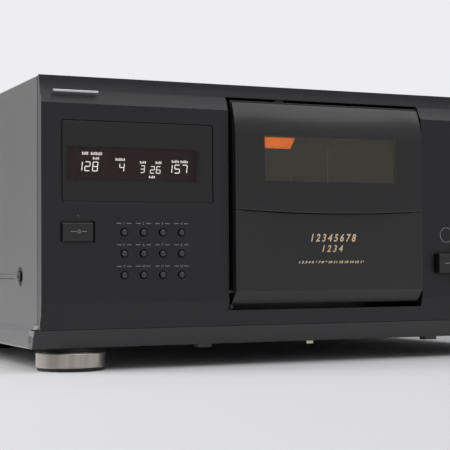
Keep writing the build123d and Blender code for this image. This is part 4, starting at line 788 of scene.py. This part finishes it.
for x0, x1, z0, z1 in LEGENDS:
    marks += ticks(x0, x1, z0, z1, TUBE_FRONT - 0.05, 0.75, 1.15)
settle(join(marks), "display_legends", glowing("legend_glow", (1.0, 0.90, 0.88), 2.1))
tube_glass = finish("tube_glass", (0.050, 0.016, 0.020), 0.5, tone=0.15)
tube_skin = tube_glass.node_tree.nodes["Principled BSDF"]
tube_skin.inputs["Emission Color"].default_value = (0.30, 0.055, 0.075, 1)
tube_skin.inputs["Emission Strength"].default_value = 0.065


def display_pane():
    """Smoked acrylic; outside the glowing rectangle its back is printed black."""
    material = finish("display_pane", (0.0125, 0.0125, 0.0130), 0.10, dust=0.15, edge=2.0, edge_radius=0.0003,
                      tone=0.06)
    tree = material.node_tree
    skin = tree.nodes["Principled BSDF"]
    along = where_between(tree, "X", GLOW[0][0] * MM, GLOW[0][1] * MM, 5.0 * MM)
    upright = where_between(tree, "Z", GLOW[1][0] * MM, GLOW[1][1] * MM, 2.2 * MM)
    clear = maths(tree, "MULTIPLY", along, upright)
    tree.links.new(maths(tree, "MULTIPLY_ADD", clear, -0.60, 1.0), skin.inputs["Alpha"])
    return material


dress(tube_glass, "display_tube")
dress(display_pane(), "display_window")
dress(board_green, "display_board", "key_board")


# ------------------------------------------------------------------ keys, power button and their printing
# Glossy black mouldings that stand in the panel's holes, with legends screened above them in grey: plain
# numbers between short rules. The power button carries its own symbol.
def ring(x, z, outer, inner, y, gap=0.0, around=40):
    """A printed ring, open at its top by a share of its turn."""
    turn = 2 * pi * (1 - gap)
    first = pi / 2 + gap * pi
    angles = [first + turn * step / around for step in range(around + (1 if gap else 0))]
    pieces = []
    for low, high in zip(angles, angles[1:] + ([] if gap else [angles[0] + 2 * pi])):
        pieces.append(film([(x + r * cos(a), z + r * sin(a)) for r, a in
                            ((outer, low), (outer, high), (inner, high), (inner, low))], y))
    return pieces


key_gloss = finish("key_gloss", (0.012, 0.012, 0.013), 0.30, stipple=0.3, bump=0.05, edge=2.2,
                   edge_radius=0.0005)
grey_print = finish("grey_print", (0.30, 0.30, 0.31), 0.5, tone=0.08, edge=1.1, edge_radius=0.0001)
KEY_X = (-154.8, -141.1, -127.4, -113.7)
legends = []
for row, z in enumerate((97.1, 82.8, 68.5)):
    for column, x in enumerate(KEY_X):
        legends.append(text_film(str(row * 4 + column + 1), x, z, 1.6, FRONT_Y))
        for side in (-1, 1):
            legends.append(bar(*sorted((x + side * 1.9, x + side * 5.2)), z + 0.55, z + 0.95, FRONT_Y))
settle(join(legends), "key_numbers", grey_print)
POWER_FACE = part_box("power_button")[0].y / MM
power_marks = ring(-186.4, 92.2, 1.15, 0.80, POWER_FACE, gap=0.18)
power_marks.append(bar(-186.58, -186.22, 92.3, 93.6, POWER_FACE))
power_marks += [bar(-191.9, -188.2, 92.0, 92.4, POWER_FACE), bar(-184.6, -180.9, 92.0, 92.4, POWER_FACE)]
settle(join(power_marks), "power_symbol", grey_print, "power_button")
KEYS = ["key_%d%d" % (row, column) for row in (1, 2, 3) for column in (1, 2, 3, 4)]
dress(key_gloss, "power_button", *KEYS)


# ------------------------------------------------------------------ crowns of the round keys
# Each round key's dished end holds a small polished crown; one shape, moulded twelve times.
CROWN_R, CROWN_SEAT = 1.72, 0.35


def dome(place, radius, around, wall, steps, smooth):
    """A low dome that faces the front: a disc at its place in metres, drawn out by wall, then stepped inward
    and forward; in mm."""
    bpy.ops.object.select_all(action="DESELECT")
    bpy.ops.mesh.primitive_circle_add(vertices=around, radius=radius * MM, fill_type="NGON",
                                      rotation=(pi / 2, 0, 0), location=place)
    piece = bpy.context.object
    bpy.ops.object.transform_apply(location=True, rotation=True, scale=True)
    bpy.ops.object.mode_set(mode="EDIT")
    bpy.ops.mesh.select_all(action="SELECT")
    bpy.ops.mesh.extrude_region_move(TRANSFORM_OT_translate={"value": (0, -wall * MM, 0)})
    for inward, forward in steps:
        bpy.ops.mesh.inset(thickness=inward * MM)
        bpy.ops.transform.translate(value=(0, -forward * MM, 0))
    bpy.ops.mesh.select_all(action="SELECT")
    bpy.ops.mesh.normals_make_consistent(inside=False)
    bpy.ops.object.mode_set(mode="OBJECT")
    bpy.ops.object.shade_smooth_by_angle(angle=radians(smooth))
    return piece


crown_polish = finish("crown_polish", (0.022, 0.022, 0.024), 0.22, edge=1.2, edge_radius=0.0001, shine=0.7)
places = []
for node in KEYS:
    low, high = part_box(node)
    places.append(Vector(((low.x + high.x) / 2, low.y, (low.z + high.z) / 2)))
crowns = [dome(places[0] + Vector((0, CROWN_SEAT, 0)) * MM, CROWN_R, 36, 0.1,
               ((0.18, 0.24), (0.30, 0.18), (0.36, 0.11), (0.40, 0.05)), 50)]
for place in places[1:]:
    copy = crowns[0].copy()
    copy.data = crowns[0].data.copy()
    bpy.context.collection.objects.link(copy)
    copy.location = place - places[0]
    crowns.append(copy)
for piece, node in zip(crowns, KEYS):
    settle(piece, "crown_of_" + node, crown_polish, node)


# ------------------------------------------------------------------ standby lens
# A small clear dome over the lamp above the power button, dark while the unit runs.
LENS_PLACE, LENS_R = (-186.8, 102.1), 1.15
lens = dome(Vector((LENS_PLACE[0], FRONT_Y + 0.7, LENS_PLACE[1])) * MM, LENS_R, 32, 0.4,
            ((0.30, 0.30), (0.35, 0.20), (0.30, 0.07)), 40)
lens_red = finish("lens_red", (0.030, 0.012, 0.012), 0.12, tone=0.1, edge=1.2, edge_radius=0.0001)
settle(lens, "standby_lens", lens_red)


# ------------------------------------------------------------------ transport keys
# A row of four wide mouldings to the right of the door, each printed with its plain symbol; over them a
# thin printed ring.
BAR_KEYS = ["open_close_button", "play_button", "pause_button", "stop_button"]
SYMBOL_Z = 68.9


def bar_symbol(key, x, z, y):
    """The printed symbol of a transport key, its foot at z."""
    if key == "open_close_button":
        return [film([(x - 1.5, z + 0.8), (x + 1.5, z + 0.8), (x, z + 2.3)], y),
                bar(x - 1.5, x + 1.5, z, z + 0.5, y)]
    if key == "play_button":
        return [film([(x - 1.0, z), (x + 1.2, z + 1.15), (x - 1.0, z + 2.3)], y)]
    if key == "pause_button":
        return [bar(x - 1.1, x - 0.4, z, z + 2.2, y), bar(x + 0.4, x + 1.1, z, z + 2.2, y)]
    return [bar(x - 1.1, x + 1.1, z, z + 2.2, y)]


for key in BAR_KEYS:
    low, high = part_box(key)
    middle = (low.x + high.x) / 2 / MM
    symbol = bar_symbol(key, middle, SYMBOL_Z, low.y / MM)
    for end in (-1, 1):
        rule = sorted((middle + end * 3.2, middle + end * 8.2))
        symbol.append(bar(*rule, SYMBOL_Z + 0.9, SYMBOL_Z + 1.4, low.y / MM))
    settle(join(symbol), key.replace("button", "symbol"), grey_print, key)
settle(join(ring(99.6, 91.0, 5.6, 5.25, FRONT_Y)), "printed_ring", grey_print)
dress(key_gloss, *BAR_KEYS)


# ------------------------------------------------------------------ jog dial
# A turned-looking moulding with a finger dimple, satin black, with faint turning lines.
dial_black = finish("dial_black", (0.013, 0.013, 0.014), 0.32, hairline=0.5, bump=0.08, edge=3.0)
dress(dial_black, "jog_dial")


# ------------------------------------------------------------------ top cover and its screws
# Sheet steel folded over the top and sides and sprayed a fine dark grey texture. Each side has a front corner
# lightened by painted light, a pressed rib whose creases carry painted shade, dimples for the screws and a
# flared foot lightened by painted light, with a painted highlight along its lower edge.
SIDE_SCREWS = [(side * 211.4, y, 62.8) for side in (-1, 1) for y in (-138.1, 171.7)]
RIB_Z, RIB_ENDS = (61.1, 64.3), (-125.5, 159.1)
NOTCH_Y, NOTCH_Z = -172.2, 30.9
FLARE_Z = (25.9, 29.6)
DIMPLE_R = 6.6


def cover_paint():
    """Textured grey, darker at the front edge and the dimples; painted shade along the rib, painted light on
    the flare and the front corner, and a painted highlight along the lower edge.
    """
    material = finish("cover_paint", (0.152, 0.152, 0.149), 0.42, stipple=1.0, bump=0.5, dust=0.2, tone=0.10,
                      edge=1.5, edge_radius=0.0008)
    tree = material.node_tree
    low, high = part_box("top_cover")
    where = tree.nodes.new("ShaderNodeTexCoord")
    split = tree.nodes.new("ShaderNodeSeparateXYZ")
    tree.links.new(where.outputs["Object"], split.inputs["Vector"])
    side = maths(tree, "GREATER_THAN", maths(tree, "ABSOLUTE", split.outputs["X"], None), high.x - 4.4 * MM)

    def along(axis, first, last, soft=0.3):
        """A mask of the sides between two places along an axis, in mm."""
        return maths(tree, "MULTIPLY", side, where_between(tree, axis, first * MM, last * MM, soft * MM))

    recolour(material, along("Y", -1000, low.y / MM + 3.4), (0.118, 0.117, 0.116))
    recolour(material, along("Y", -1000, low.y / MM + 1.0), (0.020, 0.020, 0.020))
    # painted light: the upward-facing flare is lighter, as light from above falls on it
    recolour(material, along("Z", *FLARE_Z, 0.6), (0.165, 0.165, 0.172))
    # painted highlight: a bright band along the lower edge, where the hem catches the light
    recolour(material, along("Z", -1000, low.z / MM + 0.8), (0.34, 0.34, 0.34))
    # painted light: the front corner below the notch is lighter, as its upward-facing flare catches the light
    corner = where_between(tree, "Y", -1.0, NOTCH_Y * MM, 0.3 * MM)
    recolour(material, maths(tree, "MULTIPLY", corner, along("Z", 0, NOTCH_Z)), (0.30, 0.30, 0.30))
    lip = along("Z", NOTCH_Z, NOTCH_Z + 0.6)
    recolour(material, maths(tree, "MULTIPLY", corner, lip), (0.030, 0.030, 0.030))
    # painted shade: two dark lines along the rib's creases
    for z in RIB_Z:
        behind = where_between(tree, "Y", RIB_ENDS[0] * MM, RIB_ENDS[1] * MM, 1.0 * MM)
        edge = maths(tree, "MULTIPLY", behind, along("Z", z - 0.35, z + 0.35))
        recolour(material, edge, (0.068, 0.067, 0.065))
    for x, y, z in SIDE_SCREWS:
        away = tree.nodes.new("ShaderNodeVectorMath")
        away.operation = "DISTANCE"
        away.inputs[1].default_value = Vector((x, y, z)) * MM
        tree.links.new(where.outputs["Object"], away.inputs[0])
        dimple = maths(tree, "LESS_THAN", away.outputs["Value"], DIMPLE_R * MM)
        recolour(material, dimple, (0.022, 0.022, 0.025))
    return material


black_screw = finish("black_screw", (0.10, 0.10, 0.105), 0.22, metal=1.0, edge=4.0, edge_radius=0.0003)
dress(cover_paint(), "top_cover")
dress(black_screw, "case_screws")
